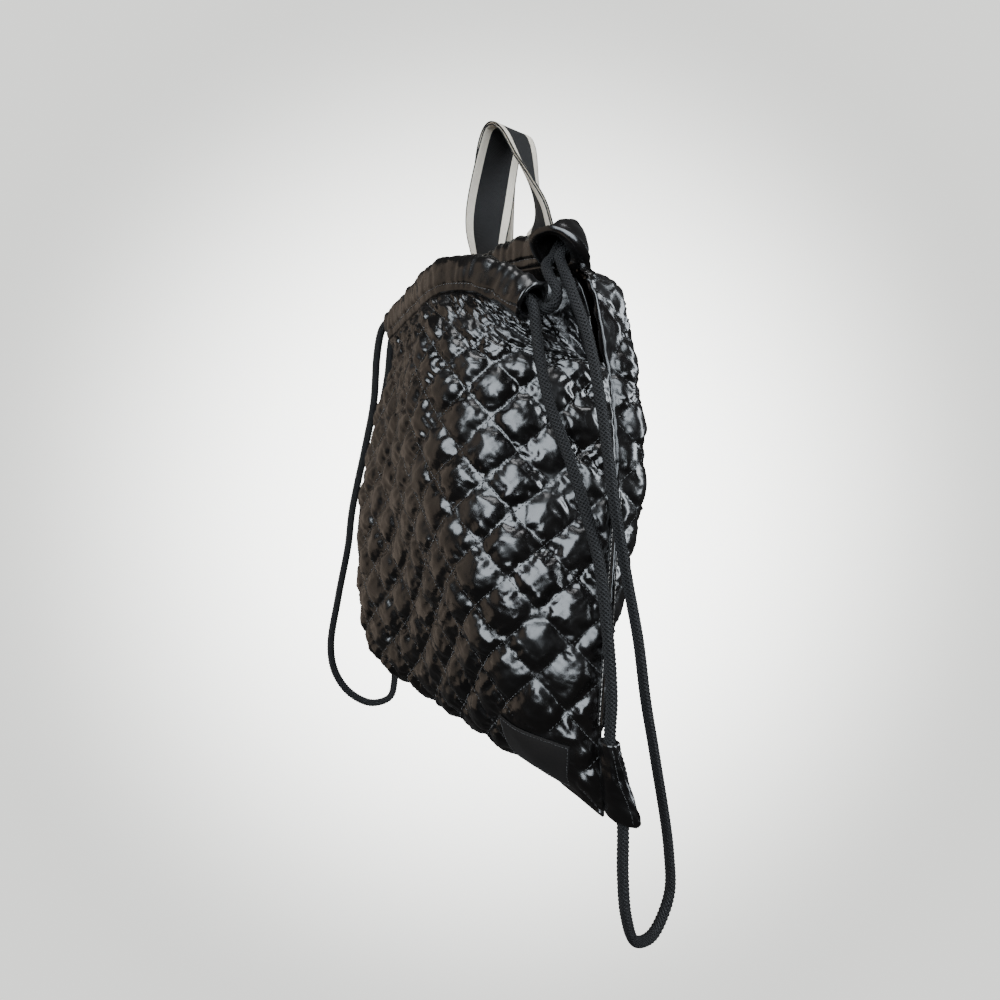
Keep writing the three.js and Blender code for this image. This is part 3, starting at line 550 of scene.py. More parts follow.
def make_piece(name, solid, material, node=None):
    """A smooth mesh piece of the bag, which rides with it and may stand for a CAD node."""
    points, faces, uvs = solid
    mesh = bpy.data.meshes.new(name)
    mesh.from_pydata(to_row(points).tolist(), [], [list(map(int, face)) for face in faces])
    layer = mesh.uv_layers.new(name="cloth")
    layer.uv.foreach_set("vector", np.asarray(uvs, np.float32).ravel())
    mesh.shade_smooth()
    mesh.update()
    if mesh.validate():
        raise RuntimeError(name + " has faulty faces")
    made = bpy.data.objects.new(name, mesh)
    bpy.context.scene.collection.objects.link(made)
    made.data.materials.append(material_named(material))
    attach(made, "root")
    if node:
        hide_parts(node)
    return made


# Materials


class Finish:
    """A new material with a principled shader, and short ways to add nodes to it."""

    def __init__(self, name, **inputs):
        self.material = bpy.data.materials.new(name)
        self.material.use_nodes = True
        self.tree = self.material.node_tree
        self.principled = self.tree.nodes["Principled BSDF"]
        self.fill_in(self.principled, inputs)

    def fill_in(self, node, inputs):
        """Sets or links a node's inputs, which are given by name or number."""
        for key, value in inputs.items():
            target = node.inputs[key.replace("_", " ") if isinstance(key, str) else key]
            if isinstance(value, bpy.types.NodeSocket):
                self.tree.links.new(value, target)
            else:
                target.default_value = value

    def add(self, kind, inputs=None, **named):
        node = self.tree.nodes.new("ShaderNode" + kind)
        self.fill_in(node, {**(inputs or {}), **named})
        return node

    def calc(self, operation, *values):
        """The result of a calculation with sockets or numbers."""
        node = self.add("Math", dict(enumerate(values)))
        node.operation = operation
        return node.outputs[0]

    def noise(self, place, **inputs):
        return self.add("TexNoise", Vector=place, **inputs).outputs["Fac"]

    def uv(self):
        return self.add("TexCoord").outputs["UV"]

    def ramp(self, value, *stops):
        """Colours at positions along a value."""
        node = self.add("ValToRGB", Fac=value)
        elements = node.color_ramp.elements
        elements[0].position, elements[0].color = stops[0][0], (*stops[0][1], 1)
        elements[1].position, elements[1].color = stops[-1][0], (*stops[-1][1], 1)
        for position, colour in stops[1:-1]:
            elements.new(position).color = (*colour, 1)
        return node.outputs["Color"]

    def finished(self, base, *bumps):
        """The material with its base colour and its bumps: strength, distance and height."""
        inputs = {"Base Color": base}
        below = {}
        for strength, distance, height in bumps:
            bump = self.add("Bump", below, Strength=strength, Distance=distance, Height=height)
            inputs["Normal"] = bump.outputs["Normal"]
            below = {"Normal": inputs["Normal"]}
        self.fill_in(self.principled, inputs)
        return self.material


def nylon_material():
    """Glossy black nylon: fine crumples, a faint weave, and gloss that varies over the cloth."""
    nylon = Finish(
        "glossy_nylon", Specular_IOR_Level=0.7, Coat_Weight=0.2,
        Coat_Roughness=0.14, Sheen_Weight=0.02, Sheen_Roughness=0.4)
    place = nylon.uv()
    crumple = nylon.add("TexNoise", Vector=place, Scale=105.0, Detail=4.0, Roughness=0.55,
                        Distortion=0.7)
    crumple.noise_type = "RIDGED_MULTIFRACTAL"
    crumple.inputs["Lacunarity"].default_value = 2.4
    soft = nylon.noise(place, Scale=34.0, Detail=3.0, Distortion=0.4)
    weave = nylon.noise(place, Scale=2600.0, Detail=1.0)
    patches = nylon.noise(place, Scale=9.0, Detail=2.0)
    rough = nylon.add("MapRange", Value=soft, From_Min=0.3, From_Max=0.7, To_Min=0.17, To_Max=0.34)
    nylon.fill_in(nylon.principled, {"Roughness": rough.outputs["Result"]})
    return nylon.finished(
        nylon.ramp(patches, (0.3, (0.0016, 0.0015, 0.0016)), (0.75, (0.0045, 0.0038, 0.0034))),
        (0.25, 0.00012, weave), (0.4, 0.0012, crumple.outputs["Fac"]), (0.5, 0.0034, soft))


def webbing_material():
    """Flat webbing: a black twill middle and a pale ribbed stripe at each edge."""
    webbing = Finish(
        "striped_webbing", Roughness=0.6, Specular_IOR_Level=0.3, Sheen_Weight=0.02)
    uv = webbing.uv()
    parts = webbing.add("SeparateXYZ", Vector=uv)
    across, along = parts.outputs["X"], parts.outputs["Y"]
    from_middle = webbing.calc("ABSOLUTE", webbing.calc("SUBTRACT", across, 0.5))
    edge = webbing.calc("GREATER_THAN", from_middle, 0.315)
    rim = webbing.calc("GREATER_THAN", from_middle, 0.478)
    slant = webbing.calc("ADD", webbing.calc("MULTIPLY", across, 46.0),
                        webbing.calc("MULTIPLY", along, 900.0))
    twill = webbing.calc("SINE", webbing.calc("MULTIPLY", slant, 3.6))
    ribs = webbing.calc("SINE", webbing.calc("MULTIPLY", along, 5200.0))
    speckle = webbing.noise(uv, Scale=300.0, Detail=3.0)
    dark = webbing.ramp(speckle, (0.3, (0.0025, 0.0023, 0.0024)), (0.7, (0.007, 0.0062, 0.006)))
    light = webbing.ramp(speckle, (0.25, (0.55, 0.48, 0.38)), (0.7, (0.80, 0.73, 0.62)))
    stripes = webbing.add("Mix")
    stripes.data_type = "RGBA"
    webbing.fill_in(stripes, {0: webbing.calc("SUBTRACT", edge, rim), 6: dark, 7: light})
    weave = webbing.calc("ADD", twill, webbing.calc("MULTIPLY", ribs, 0.5))
    return webbing.finished(stripes.outputs[2], (0.6, 0.0003, weave))


def braid_material():
    """Charcoal braid: two families of slanting yarns that cross, with painted highlights on their
    crowns and painted shade in the gaps between them.
    """
    braid = Finish("charcoal_braid", Roughness=0.62, Specular_IOR_Level=0.35, Sheen_Weight=0.02)
    parts = braid.add("SeparateXYZ", Vector=braid.uv())

    def yarn(slope):
        turned = braid.calc("MULTIPLY", parts.outputs["X"], 8.0)
        run = braid.calc("MULTIPLY", parts.outputs["Y"], 2.6 * slope)
        both = braid.calc("ADD", turned, run)
        return braid.calc("SINE", braid.calc("MULTIPLY", both, 2 * math.pi))

    height = braid.calc("MAXIMUM", yarn(1), yarn(-1))
    # The colour follows the yarns' height: painted shade in the gaps between the yarns, painted
    # highlights on their crowns
    colour = braid.ramp(height, (0.0, (0.0012, 0.0012, 0.0013)), (0.75, (0.005, 0.005, 0.0054)),
                        (1.0, (0.016, 0.016, 0.017)))
    return braid.finished(colour, (1.0, 0.0008, height))


def label_material():
    """A matte woven patch, dark brown-black, with a faint grain."""
    patch = Finish("bare_label", Roughness=0.8, Specular_IOR_Level=0.25, Sheen_Weight=0.02)
    place = patch.uv()
    grain = patch.noise(place, Scale=900.0, Detail=3.0, Roughness=0.6)
    stains = patch.noise(place, Scale=40.0, Detail=2.0)
    both = patch.calc("MULTIPLY_ADD", grain, 0.5, patch.calc("MULTIPLY", stains, 0.5))
    colour = patch.ramp(both, (0.35, (0.004, 0.0033, 0.003)), (0.65, (0.009, 0.0072, 0.0062)))
    return patch.finished(colour, (0.4, 0.0003, grain))


def thread_material(name, colour, roughness):
    """Sewing thread, with a twist that breaks up its highlight, and painted shade in the twist's
    grooves.
    """
    thread = Finish(name, Roughness=roughness, Sheen_Weight=0.3)
    twist = thread.add("TexWave", Vector=thread.uv(), Scale=3.0, Distortion=1.0)
    twist.bands_direction = "DIAGONAL"
    height = twist.outputs["Fac"]
    # The twist's grooves are painted 0.6 times as dark as the thread: painted shade
    painted_shade = tuple(0.6 * c for c in colour)
    return thread.finished(thread.ramp(height, (0.2, painted_shade), (0.8, colour)), (0.3, 0.0002, height))


def material_named(name):
    """A material of the bag, made when it is first asked for."""
    made = bpy.data.materials.get(name)
    if made:
        return made
    return {
        "glossy_nylon": nylon_material,
        "striped_webbing": webbing_material,
        "charcoal_braid": braid_material,
        "bare_label": label_material,
        "black_thread": lambda: thread_material("black_thread", (0.02, 0.019, 0.019), 0.28),
        "pale_thread": lambda: thread_material("pale_thread", (0.42, 0.40, 0.37), 0.5),
    }[name]()


# The casings and what they hold


def top_edge(section, facing, across):
    """The way up from a panel's top edge at some shares across, and the level way into the bag."""
    step = 0.01
    along = unit(surface_row(section, across + step, 0) - surface_row(section, across - step, 0))
    up = unit(np.array([0, 0, 1.0]) - along * along[:, 2:])
    return up, np.cross(up, along) * facing


def casing_path(section, facing, start, end, free_end):
    """The line that a casing's tunnel follows, closely spaced."""
    across = np.linspace(start, end, 19)
    up, inward = top_edge(section, facing, across)
    points = (surface_row(section, across, 0) + inward * PANEL_THICKNESS / 2
              + up * (CASING_HEIGHT / 2 + CASING_EASE) + [0, -facing * CLEARANCE / 2, 0])
    points = list(points) + [points[-1] + np.array(p) * CASING_HEIGHT for p in free_end]
    return curve_through(points)


def casing_stations(path, count):
    """Stations along a casing: places, and the directions along, up and out of the bag."""
    at = spaced(path, count)
    along = unit(np.gradient(at, axis=0))
    up = unit(np.array([0, 0, 1.0]) - along * along[:, 2:])
    return at, along, up, np.cross(along, up)


def casings():
    """The path of each casing, how many stations its cords bend over, and how far it flares."""
    front = casing_path(front_section, 1, 0.005, 0.985, [])
    back = casing_path(back_section, -1, 0.005, 0.97, [[0.18, -0.35, -0.1], [0.2, -0.75, -0.5]])
    stations = [2 * round(path_length(path) / CASING_RUFFLE_PITCH) for path in (front, back)]
    return (front, stations[0], 0, 1.2), (back, stations[1], 0.25, 1.5)


def held_run(casing, up_side, out_side):
    """A cord's run through a casing, over or under the other cord, and beside it at the end."""
    path, count = casing[:2]
    at, _, up, out = casing_stations(path, count)
    apart = CORD_DIAMETER / 2 + CLEARANCE
    turn = np.pi / 2 * np.minimum(1, (count - np.arange(count + 1)) / 4)[:, None]
    return at + up * up_side * apart * np.sin(turn) + out * out_side * apart * np.cos(turn)


def cord_loops():
    """The closed loop of each cord, and the number of its points that the casings hold."""
    front, back = casings()
    right = [held_run(front, -1, 1)[::-1], LEFT_CROSSING_POINTS, held_run(back, -1, -1)]
    left = [held_run(back, 1, 1), RIGHT_CROSSING_POINTS, held_run(front, 1, -1)[::-1]]
    right, left = np.concatenate(right), np.concatenate(left)
    return (
        (np.concatenate([right, RIGHT_STRAP_POINTS[::-1]]), len(right)),
        (np.concatenate([left, LEFT_STRAP_POINTS]), len(left)),
    )


def loop_piece(loop, start, end):
    """The part of a closed loop from one of its points to another, a little short at each end."""
    per = 24
    path = curve_through(loop, closed=True, per=per)
    at = np.arange(start * per, end * per + 1) % len(path)
    piece = path[at]
    shorten = CLEARANCE * 0.6
    piece[0] += unit(piece[1] - piece[0]) * shorten
    piece[-1] += unit(piece[-2] - piece[-1]) * shorten
    return piece


def braided_cord(name, path, node):
    """A braided cord along a path, with a pair of dotted ribs down each of its two sides."""
    diameter = settings().cord_diameter * 1000
    total = path_length(path)
    path = spaced(path, round(total / CORD_STEP))
    run = np.linspace(0, total, len(path))
    _, side, other = frames_along(path, (0.81, -0.58, 0.02))
    angle = np.arange(CORD_SIDES) / CORD_SIDES * 2 * np.pi
    radius = np.full((len(path), CORD_SIDES), diameter / 2 * 0.95)
    dots = 0.5 + 0.5 * np.sin(run[:, None] * 2 * np.pi / RIB_DOT_PITCH)
    for centre in (-RIB_ANGLE, RIB_ANGLE, math.pi - RIB_ANGLE, math.pi + RIB_ANGLE):
        away = (angle - centre + np.pi) % (2 * np.pi) - np.pi
        radius += diameter / 2 * RIB_HEIGHT * np.exp(-(away / RIB_WIDTH) ** 2) * dots
    rings = (path[:, None] + side[:, None] * (np.cos(angle) * radius)[..., None]
             + other[:, None] * (np.sin(angle) * radius)[..., None])
    made = make_piece(name, tube_solid(rings, length_scale=1 / diameter), "charcoal_braid",
                      node)


def casing_piece(name, casing, seed, fold):
    """A gathered tunnel: soft pleats round it, sewn lines along its foot, and open ends."""
    path, _, flare_height, flare_thickness = casing
    total = path_length(path)
    count = round(total / CASING_STEP)
    at, _, up, out = casing_stations(path, count)
    run = np.linspace(0, total, count + 1)[:, None]
    near = np.maximum(0, 1 - (total - run) / (5 * CASING_RUFFLE_PITCH / 2)) ** 2
    angle = (np.arange(CASING_SIDES) + 0.5) / CASING_SIDES * 2 * np.pi
    wide = np.sign(np.cos(angle)) * np.abs(np.cos(angle)) ** 0.8
    high = np.sign(np.sin(angle)) * np.abs(np.sin(angle)) ** 0.8
    lift = CASING_HEIGHT / 2 * flare_height * near
    half_high = CASING_HEIGHT / 2 + lift
    half_wide = CASING_THICKNESS / 2 * (1 + flare_thickness * near)
    slanted = run + 2.2 * high[None, :] * noise_line(run / 30, seed)
    broad, narrow = (
        np.abs(np.sin(np.pi * (slanted / pitch + 0.8 * noise_line(run / drift, seed + more))))
        for pitch, drift, more in ((BROAD_PLEAT_PITCH, 24, 1), (NARROW_PLEAT_PITCH, 17, 2)))
    face = np.sign(wide)[None, :]
    uneven = noise_plane(slanted / 9 + 40 * face, high[None, :] * 1.6 + 9, seed + 3)
    ruffle = 1 + 1.2 * ease(1 - run / 70) + 0.6 * near
    pleat = (PLEAT_HEIGHT * ruffle * (0.75 * broad + 0.2 * narrow - 0.5)
             + 1.5 * uneven * (1 + 1.4 * near))
    weight = 0.55 + 0.45 * np.abs(high[None, :]) ** 2
    above = ease((high[None, :] + 1) * 3)
    sewn = np.exp(-((high[None, :] - SEWN_AT) / 0.10) ** 2)
    swell = pleat * weight * above - 1.5 * sewn
    swell = np.minimum(swell, 1.9 + 1.6 * near)
    swell = np.where(wide[None, :] < 0, swell + fold * near * ease(0.8 - high[None, :]), swell)
    centre = at[:, None] + up[:, None] * lift[..., None]
    outer = (centre + out[:, None] * ((half_wide + swell) * wide)[..., None]
             + up[:, None] * ((half_high + np.where(high > -0.8, swell, 1.0)) * high)[..., None])
    hole_high = CASING_HEIGHT / 2 - 2 * CASING_WALL + lift
    hole_wide = (CASING_THICKNESS / 2 - CASING_WALL) * (1 + flare_thickness * near)
    inner = (centre + out[:, None] * (hole_wide * wide)[..., None]
             + up[:, None] * (hole_high * high)[..., None])
    make_piece(name + "_cloth", sleeve_solid(outer, inner, 0.001, 0.075), "glossy_nylon",
               name)
    sewn_front = np.argmin(np.abs(high - SEWN_AT) + (wide < 0) * 5)
    sewn_back = np.argmin(np.abs(high - SEWN_AT) + (wide > 0) * 5)
    stitch_mesh(name + "_sewing", [(outer[:, sewn_front], unit(out)),
                                   (outer[:, sewn_back], -unit(out))], SEWING_STITCH)


# Stitches


def stitch_mesh(name, lines, radius, material="black_thread", pitch=None):
    """Rounded stitches along lines of points, each with the directions that it faces."""
    pitch = pitch or settings().stitch_pitch * 1000
    template = [[ring + k, ring + (k + 1) % 4, ring + 4 + (k + 1) % 4, ring + 4 + k]
                for ring in (0, 4) for k in range(4)]
    template = np.array(template + [[3, 2, 1, 0], [8, 9, 10, 11]])
    all_points, all_faces = [], []
    count = 0
    for line, normals in lines:
        total = path_length(line)
        steps = int(total / pitch)
        if steps < 1:
            continue
        lengths = run_along(line)
        middle = (np.arange(steps) + 0.5) * total / steps
        half = 0.37 * total / steps
        start, mid, end = (read_along(line, lengths, middle + shift) for shift in (-half, 0, half))
        normal = unit(read_along(normals, lengths, middle))
        side = np.cross(unit(end - start), normal)
        rings = []
        for place, lift, size in ((start, 0.05, 0.55), (mid, 0.75, 1.0), (end, 0.05, 0.55)):
            centre = place + normal * radius * lift
            rings.append(np.stack([
                centre + side * radius * size, centre + normal * radius * size,
                centre - side * radius * size, centre - normal * radius * size], axis=1))
        all_points.append(np.concatenate(rings, axis=1).reshape(-1, 3))
        offsets = count + 12 * np.arange(steps)
        all_faces.append((template[None] + offsets[:, None, None]).reshape(-1, 4))
        count += 12 * steps
    points, faces = np.concatenate(all_points), np.concatenate(all_faces)
    if not faces_out(points, faces[:len(template)]):
        faces = faces[:, ::-1]
    uvs = np.tile([[0, 0], [1, 0], [1, 1], [0, 1]], (len(faces), 1)).astype(float)
    make_piece(name, (points, faces, uvs), material)


# The padded panels


def label_margin(across, down):
    """1 under the label and near it, falling to 0 away from it."""
    left, right, top, bottom = LABEL_PLACE
    dx = np.maximum(left - across, across - right) * FLAT_WIDTH
    top = top - LABEL_SLANT * np.clip((right - across) / (right - left), 0, 1)
    dy = np.maximum(top - down, down - bottom) * FLAT_HEIGHT
    return 1 - ease((np.maximum(dx, dy) - 1) / 6)


def settled_cloth(points, pinned, swell):
    """Where a sheet comes to rest when it swells and buckles between its pinned points."""
    faces, _ = lattice(points.shape[0], points.shape[1])
    mesh = bpy.data.meshes.new("settling")
    mesh.from_pydata((points.reshape(-1, 3) * SETTLING_SCALE).tolist(), [], faces.tolist())
    cloth = bpy.data.objects.new("settling", mesh)
    scene = bpy.context.scene
    scene.collection.objects.link(cloth)
    group = cloth.vertex_groups.new(name="stitched")
    group.add(np.flatnonzero(pinned.ravel()).tolist(), 1.0, "REPLACE")
    modifier = cloth.modifiers.new("settle", "CLOTH")
    fabric = modifier.settings
    for name, value in SETTLING_FABRIC.items():
        setattr(fabric, name, value)
    fabric.vertex_group_mass = "stitched"
    fabric.shrink_min = -settings().slack
    fabric.use_pressure = True
    fabric.uniform_pressure_force = swell
    fabric.effector_weights.gravity = 0
    modifier.collision_settings.use_collision = False
    cache = modifier.point_cache
    cache.frame_start, cache.frame_end = 1, SETTLING_FRAMES
    scene.frame_start, scene.frame_end = 1, SETTLING_FRAMES
    for number in range(1, SETTLING_FRAMES + 1):
        scene.frame_set(number)
    settled = cloth.evaluated_get(bpy.context.evaluated_depsgraph_get())
    rest = np.empty(len(mesh.vertices) * 3, np.float32)
    settled.data.vertices.foreach_get("co", rest)
    bpy.data.objects.remove(cloth)
    bpy.data.meshes.remove(mesh)
    scene.frame_set(1)
    return rest.reshape(points.shape).astype(float) / SETTLING_SCALE


def quilted_sheet(section, facing, seed):
    """The outer face of a panel: its base, normals and final points, on the quilting's grid."""
    cell = QUILT_DIAGONAL / 4
    line_gap = QUILT_DIAGONAL / 2 ** 0.5
    steps = settings().cloth_steps
    cells_across, cells_down = (2 * round(size / cell / 2) for size in (FLAT_WIDTH, FLAT_HEIGHT))
    columns, rows = cells_across * steps, cells_down * steps
    across, down = np.linspace(0, 1, columns + 1), np.linspace(0, 1, rows + 1)
    base = surface_grid(section, across, down)
    u, v = np.meshgrid(across, down)
    corner = ease((u - 0.88) / 0.12) * ease((v - 0.82) / 0.18)
    base = base + corner[..., None] * CORNER_REACH
    normal = grid_normals(base, facing)
    base = base + [0, -facing * CLEARANCE / 2, 0]
    column, row = u * cells_across, v * cells_down
    p, q = (column + row) / 4, (column - row) / 4
    random = np.random.default_rng(seed)
    lofts = random.uniform(*LOFT_RANGE, (64, 64))
    loft = lofts[np.floor(p).astype(int) % 64, np.floor(q).astype(int) % 64]
    pillow = np.abs(np.sin(np.pi * p) * np.sin(np.pi * q))
    plain = label_margin(u, v) if facing > 0 else np.zeros_like(u)
    from_top = v * FLAT_HEIGHT
    from_side = np.minimum(u, 1 - u) * FLAT_WIDTH
    to_edge = np.minimum(from_side, np.minimum(v, 1 - v) * FLAT_HEIGHT)
    fade = ease(to_edge / 9) * (1 - plain)
    fade_top = ease(from_top / 5) * ease(from_side / 9)
    # Gathers that hang from the casing and fade on the way down, and slow unevenness
    gather = u * FLAT_WIDTH + 4 * noise_plane(u * 12, v * 14, seed + 5)
    drift = 1.5 * noise_line(gather / 40, seed + 6)
    pleats = (np.abs(np.sin(np.pi * gather / GATHER_PITCH + drift))
              + 0.5 * np.abs(np.sin(np.pi * gather / 11)) - 0.8)
    level = GATHER_HEIGHT * pleats * np.exp(-from_top / GATHER_REACH) * fade_top
    level += 1.1 * noise_plane(u * 7, v * 8, seed + 7) * fade
    # Pillows between the lines of quilting, as they stand before the cloth settles
    start_loft = settings().loft * 1000
    crumple = 0.35 * noise_plane(u * FLAT_WIDTH / 7, from_top / 7, seed + 8)
    lifted = level + (start_loft * loft * pillow ** 0.5 + crumple * pillow) * fade
    points = base + normal * lifted[..., None]
    i, j = np.meshgrid(np.arange(columns + 1), np.arange(rows + 1))
    stitched = ((i + j) % (4 * steps) == 0) | ((i - j) % (4 * steps) == 0)
    pinned = stitched | (to_edge < 2.5) | (plain > 0.5)
    moved = settled_cloth(points, pinned, facing * settings().swell) - base
    rise = np.einsum("jik,jik->ji", moved, normal)
    aside = moved - rise[..., None] * normal
    far = np.linalg.norm(aside, axis=-1, keepdims=True)
    aside *= np.minimum(1, MOST_ASIDE / np.maximum(far, 1e-6))
    points = base + aside + normal * np.clip(rise, LEAST_RISE, MOST_RISE)[..., None]
    # Fine gathers that run out from each line of stitches
    near = np.minimum(np.abs(p - np.round(p)), np.abs(q - np.round(q))) * line_gap
    gathers = np.zeros_like(u)
    for line, run, shift in ((p, q, 0), (q, p, 500)):
        away = (line - np.round(line)) * line_gap
        key = np.round(line) * 37.3 + np.sign(away) * 11.7 + shift
        waves = noise_line(run * line_gap / PUCKER_PITCH + key, seed + 9)
        waves = 0.6 - 1.6 * np.abs(waves) ** 0.7
        away = np.abs(away)
        gathers += waves * np.exp(-away / PUCKER_REACH) * (1 - np.exp(-away / 1.3))
    gathers *= 1 + 0.8 * noise_plane(u * 9, v * 10, seed + 10)
    # Sharp slanting creases between the lines
    creases = 0
    for size, turn in ((17, 0.5), (11, 2.2)):
        a = u * FLAT_WIDTH * math.cos(turn) + from_top * math.sin(turn)
        b = from_top * math.cos(turn) - u * FLAT_WIDTH * math.sin(turn)
        creases = creases + size / 17 * (
            0.45 - np.abs(noise_plane(a / size, b / (2.2 * size), seed + size)) ** 0.6)
    gathers += 0.55 * creases * np.minimum(1, near / 5)
    points = points + normal * (settings().pucker * 1000 * 2 * gathers * fade)[..., None]
    points = points - normal * (0.5 * np.exp(-(near / 1.5) ** 2) * fade)[..., None]
    # The ripple of the side seams
    ripple = noise_line(from_top / 5.5 + 91 * np.round(u), seed + 12)
    ripple = ripple * (1 - ease(from_side / 12)) * ease(from_top / 9)
    points = points + normal * (1.1 * ripple)[..., None]
    return {"base": base, "normal": normal, "points": points, "u": u, "v": v,
            "pillow": pillow, "gathers": gathers, "fade": fade,
            "ripple": ripple, "cells": (cells_across, cells_down), "steps": steps}


def panel_piece(name, section, facing, seed):
    """A padded panel: the quilted face, a plain lining behind it, the rim and the quilting."""
    sheet = quilted_sheet(section, facing, seed)
    base, normal, u, v = (sheet[key] for key in ("base", "normal", "u", "v"))
    rows, columns = base.shape[:2]
    side = ease(1 - np.minimum(u, 1 - u) * FLAT_WIDTH / 20)
    foot = ease(1 - (1 - v) * FLAT_HEIGHT / 20)
    head = ease(1 - v * FLAT_HEIGHT / 14)
    _, inward = top_edge(section, facing, np.clip(u[0], 0.012, 0.988))
    direction = (-normal * (1 - np.maximum(side, np.maximum(foot, head)))[..., None]
                 + np.where(u < 0.5, 1, -1)[..., None] * side[..., None] * [1.0, 0, 0]
                 + foot[..., None] * [0, 0, 1.0] + head[..., None] * inward[None])
    inner = base + unit(direction) * (PANEL_THICKNESS - 1.5 * np.maximum(side, foot))[..., None]
    inner = inner - normal * (1.6 * (sheet["pillow"] + 0.6 * sheet["gathers"] - 0.4)
                              * sheet["fade"] - 1.1 * sheet["ripple"])[..., None]
    crumpled = np.stack([noise_line(v * FLAT_HEIGHT / size + 50 * np.round(u), seed + 14 + size)
                         for size in (6, 8)], axis=-1) * (side * ease(v * 12))[..., None]
    inner[..., :2] += 1.7 * crumpled
    scale = np.array([FLAT_WIDTH / (columns - 1), FLAT_HEIGHT / (rows - 1)]) / 1000
    made = make_piece(name + "_cloth", sheet_solid(sheet["points"], inner, scale, scale),
                      "glossy_nylon", name)
    stitch_mesh(name + "_quilting", quilt_lines(sheet, facing > 0), QUILTING_STITCH)


def quilt_lines(sheet, has_label):
    """The lines of quilting on a sheet, up to the label if it has one, and the way they face."""
    cells_across, cells_down = sheet["cells"]
    steps = sheet["steps"]
    height, width = sheet["u"].shape
    lines = []
    for family in (1, -1):
        low = 0 if family == 1 else -cells_down
        high = cells_across + cells_down if family == 1 else cells_across
        for number in range(low + (-low) % 4, high + 1, 4):
            row = np.arange(0, cells_down + 1e-6, 0.1)
            column = number - family * row
            inside = (column >= 0.15) & (column <= cells_across - 0.15)
            inside &= (row > 0.3) & (row < cells_down - 0.15)
            row, column = row[inside], column[inside]
            if len(row) < 4:
                continue
            covered = label_margin(column / cells_across, row / cells_down) > 0.3
            if has_label and covered.any():
                row, column = row[~covered], column[~covered]
            y, x = row * steps, column * steps
            j, i = np.minimum(y.astype(int), height - 2), np.minimum(x.astype(int), width - 2)
            b, a = (y - j)[:, None], (x - i)[:, None]

            def read(grid):
                top = grid[j, i] * (1 - a) + grid[j, i + 1] * a
                low_row = grid[j + 1, i] * (1 - a) + grid[j + 1, i + 1] * a
                return top * (1 - b) + low_row * b

            gaps = np.flatnonzero(np.diff(row) > 0.15)
            for part in np.split(np.arange(len(row)), gaps + 1):
                if len(part) > 3:
                    lines.append((read(sheet["points"])[part], read(sheet["normal"])[part]))
    return lines


class BACKPACK_OT_camera(bpy.types.Operator):
    """Sets up the camera that matches the photograph"""

    bl_idname = "backpack.camera"
    bl_label = "Camera"

    def execute(self, context):
        data = bpy.data.cameras.new("camera")
        data.lens, data.sensor_width = CAMERA_LENS, CAMERA_SENSOR
        camera = bpy.data.objects.new("camera", data)
        context.scene.collection.objects.link(camera)
        turn, drop = math.radians(CAMERA_TURN), math.radians(CAMERA_DROP)
        aim = Vector((-math.sin(turn) * math.cos(drop), math.cos(turn) * math.cos(drop),
                      -math.sin(drop)))
        camera.location = CAMERA_PLACE
        camera.rotation_mode = "QUATERNION"
        camera.rotation_quaternion = aim.to_track_quat("-Z", "Y")
        context.scene.camera = camera
        return {"FINISHED"}


class BACKPACK_OT_cords(bpy.types.Operator):
    """Adds the two strap cords, and the stretches of them that the casings hold"""

    bl_idname = "backpack.cords"
    bl_label = "Cords"

    def execute(self, context):
        (right, right_held), (left, left_held) = cord_loops()
        loops = {"right": (right, right_held - 4), "left": (left, left_held - 3)}
        for side, (loop, held) in loops.items():
            braided_cord(side + "_strap_braid", loop_piece(loop, held, len(loop) + 1),
                         side + "_strap_cord")
        for side, (loop, held) in loops.items():
            braided_cord(side + "_held_braid", loop_piece(loop, 1, held),
                         side + "_cord_in_casings")
        return {"FINISHED"}


class BACKPACK_OT_panels(bpy.types.Operator):
    """Adds the padded front and back panels with their quilting"""

    bl_idname = "backpack.panels"
    bl_label = "Padded panels"

    def execute(self, context):
        panel_piece("front_panel", front_section, 1, 11)
        panel_piece("back_panel", back_section, -1, 57)
        return {"FINISHED"}


def fold_piece(name, seed):
    """A crumpled fold of cloth that closes the slit between the panels at the mouth's right end."""
    count, across = 50, 60
    down = np.linspace(0.012, 0.21, count + 1)
    near = np.array([surface_row(front_section, np.array([0.992]), d)[0] for d in down])
    far = np.array([surface_row(back_section, np.array([0.992]), d)[0] for d in down])
    near, far = near + [-6, 4, -2], far + [-6, -6, -2]
    share = np.linspace(0, 1, across + 1)
    gap = np.linalg.norm(far - near, axis=1)[:, None]
    sag = np.minimum(20, 0.34 * gap) * np.sin(np.pi * share) ** 0.8
    rows, columns = np.meshgrid(np.arange(count + 1) / count, share, indexing="ij")
    folds = np.abs(noise_plane(columns * 5.5 + rows * 2, rows * 3.2, seed)) ** 0.7
    small = np.abs(noise_plane(columns * 11 - rows * 3, rows * 9, seed + 1)) ** 0.7
    depth = sag + (7.0 * (0.45 - folds) + 2.6 * (0.45 - small)) * np.sin(np.pi * columns) ** 0.5
    inward = unit(np.array([-1.0, -0.25, -0.1]))
    outer = (near[:, None] + (far - near)[:, None] * columns[..., None]
             + depth[..., None] * inward)
    make_piece(name, sheet_solid(outer, outer + inward * 1.6, (0.0009, 0.0014)), "glossy_nylon")


class BACKPACK_OT_casings(bpy.types.Operator):
    """Adds the gathered casings along the mouth"""

    bl_idname = "backpack.casings"
    bl_label = "Casings"

    def execute(self, context):
        front, back = casings()
        fold_piece("mouth_fold", 43)
        casing_piece("front_casing", front, 3, 0.0)
        casing_piece("back_casing", back, 8, 12.0)
        return {"FINISHED"}


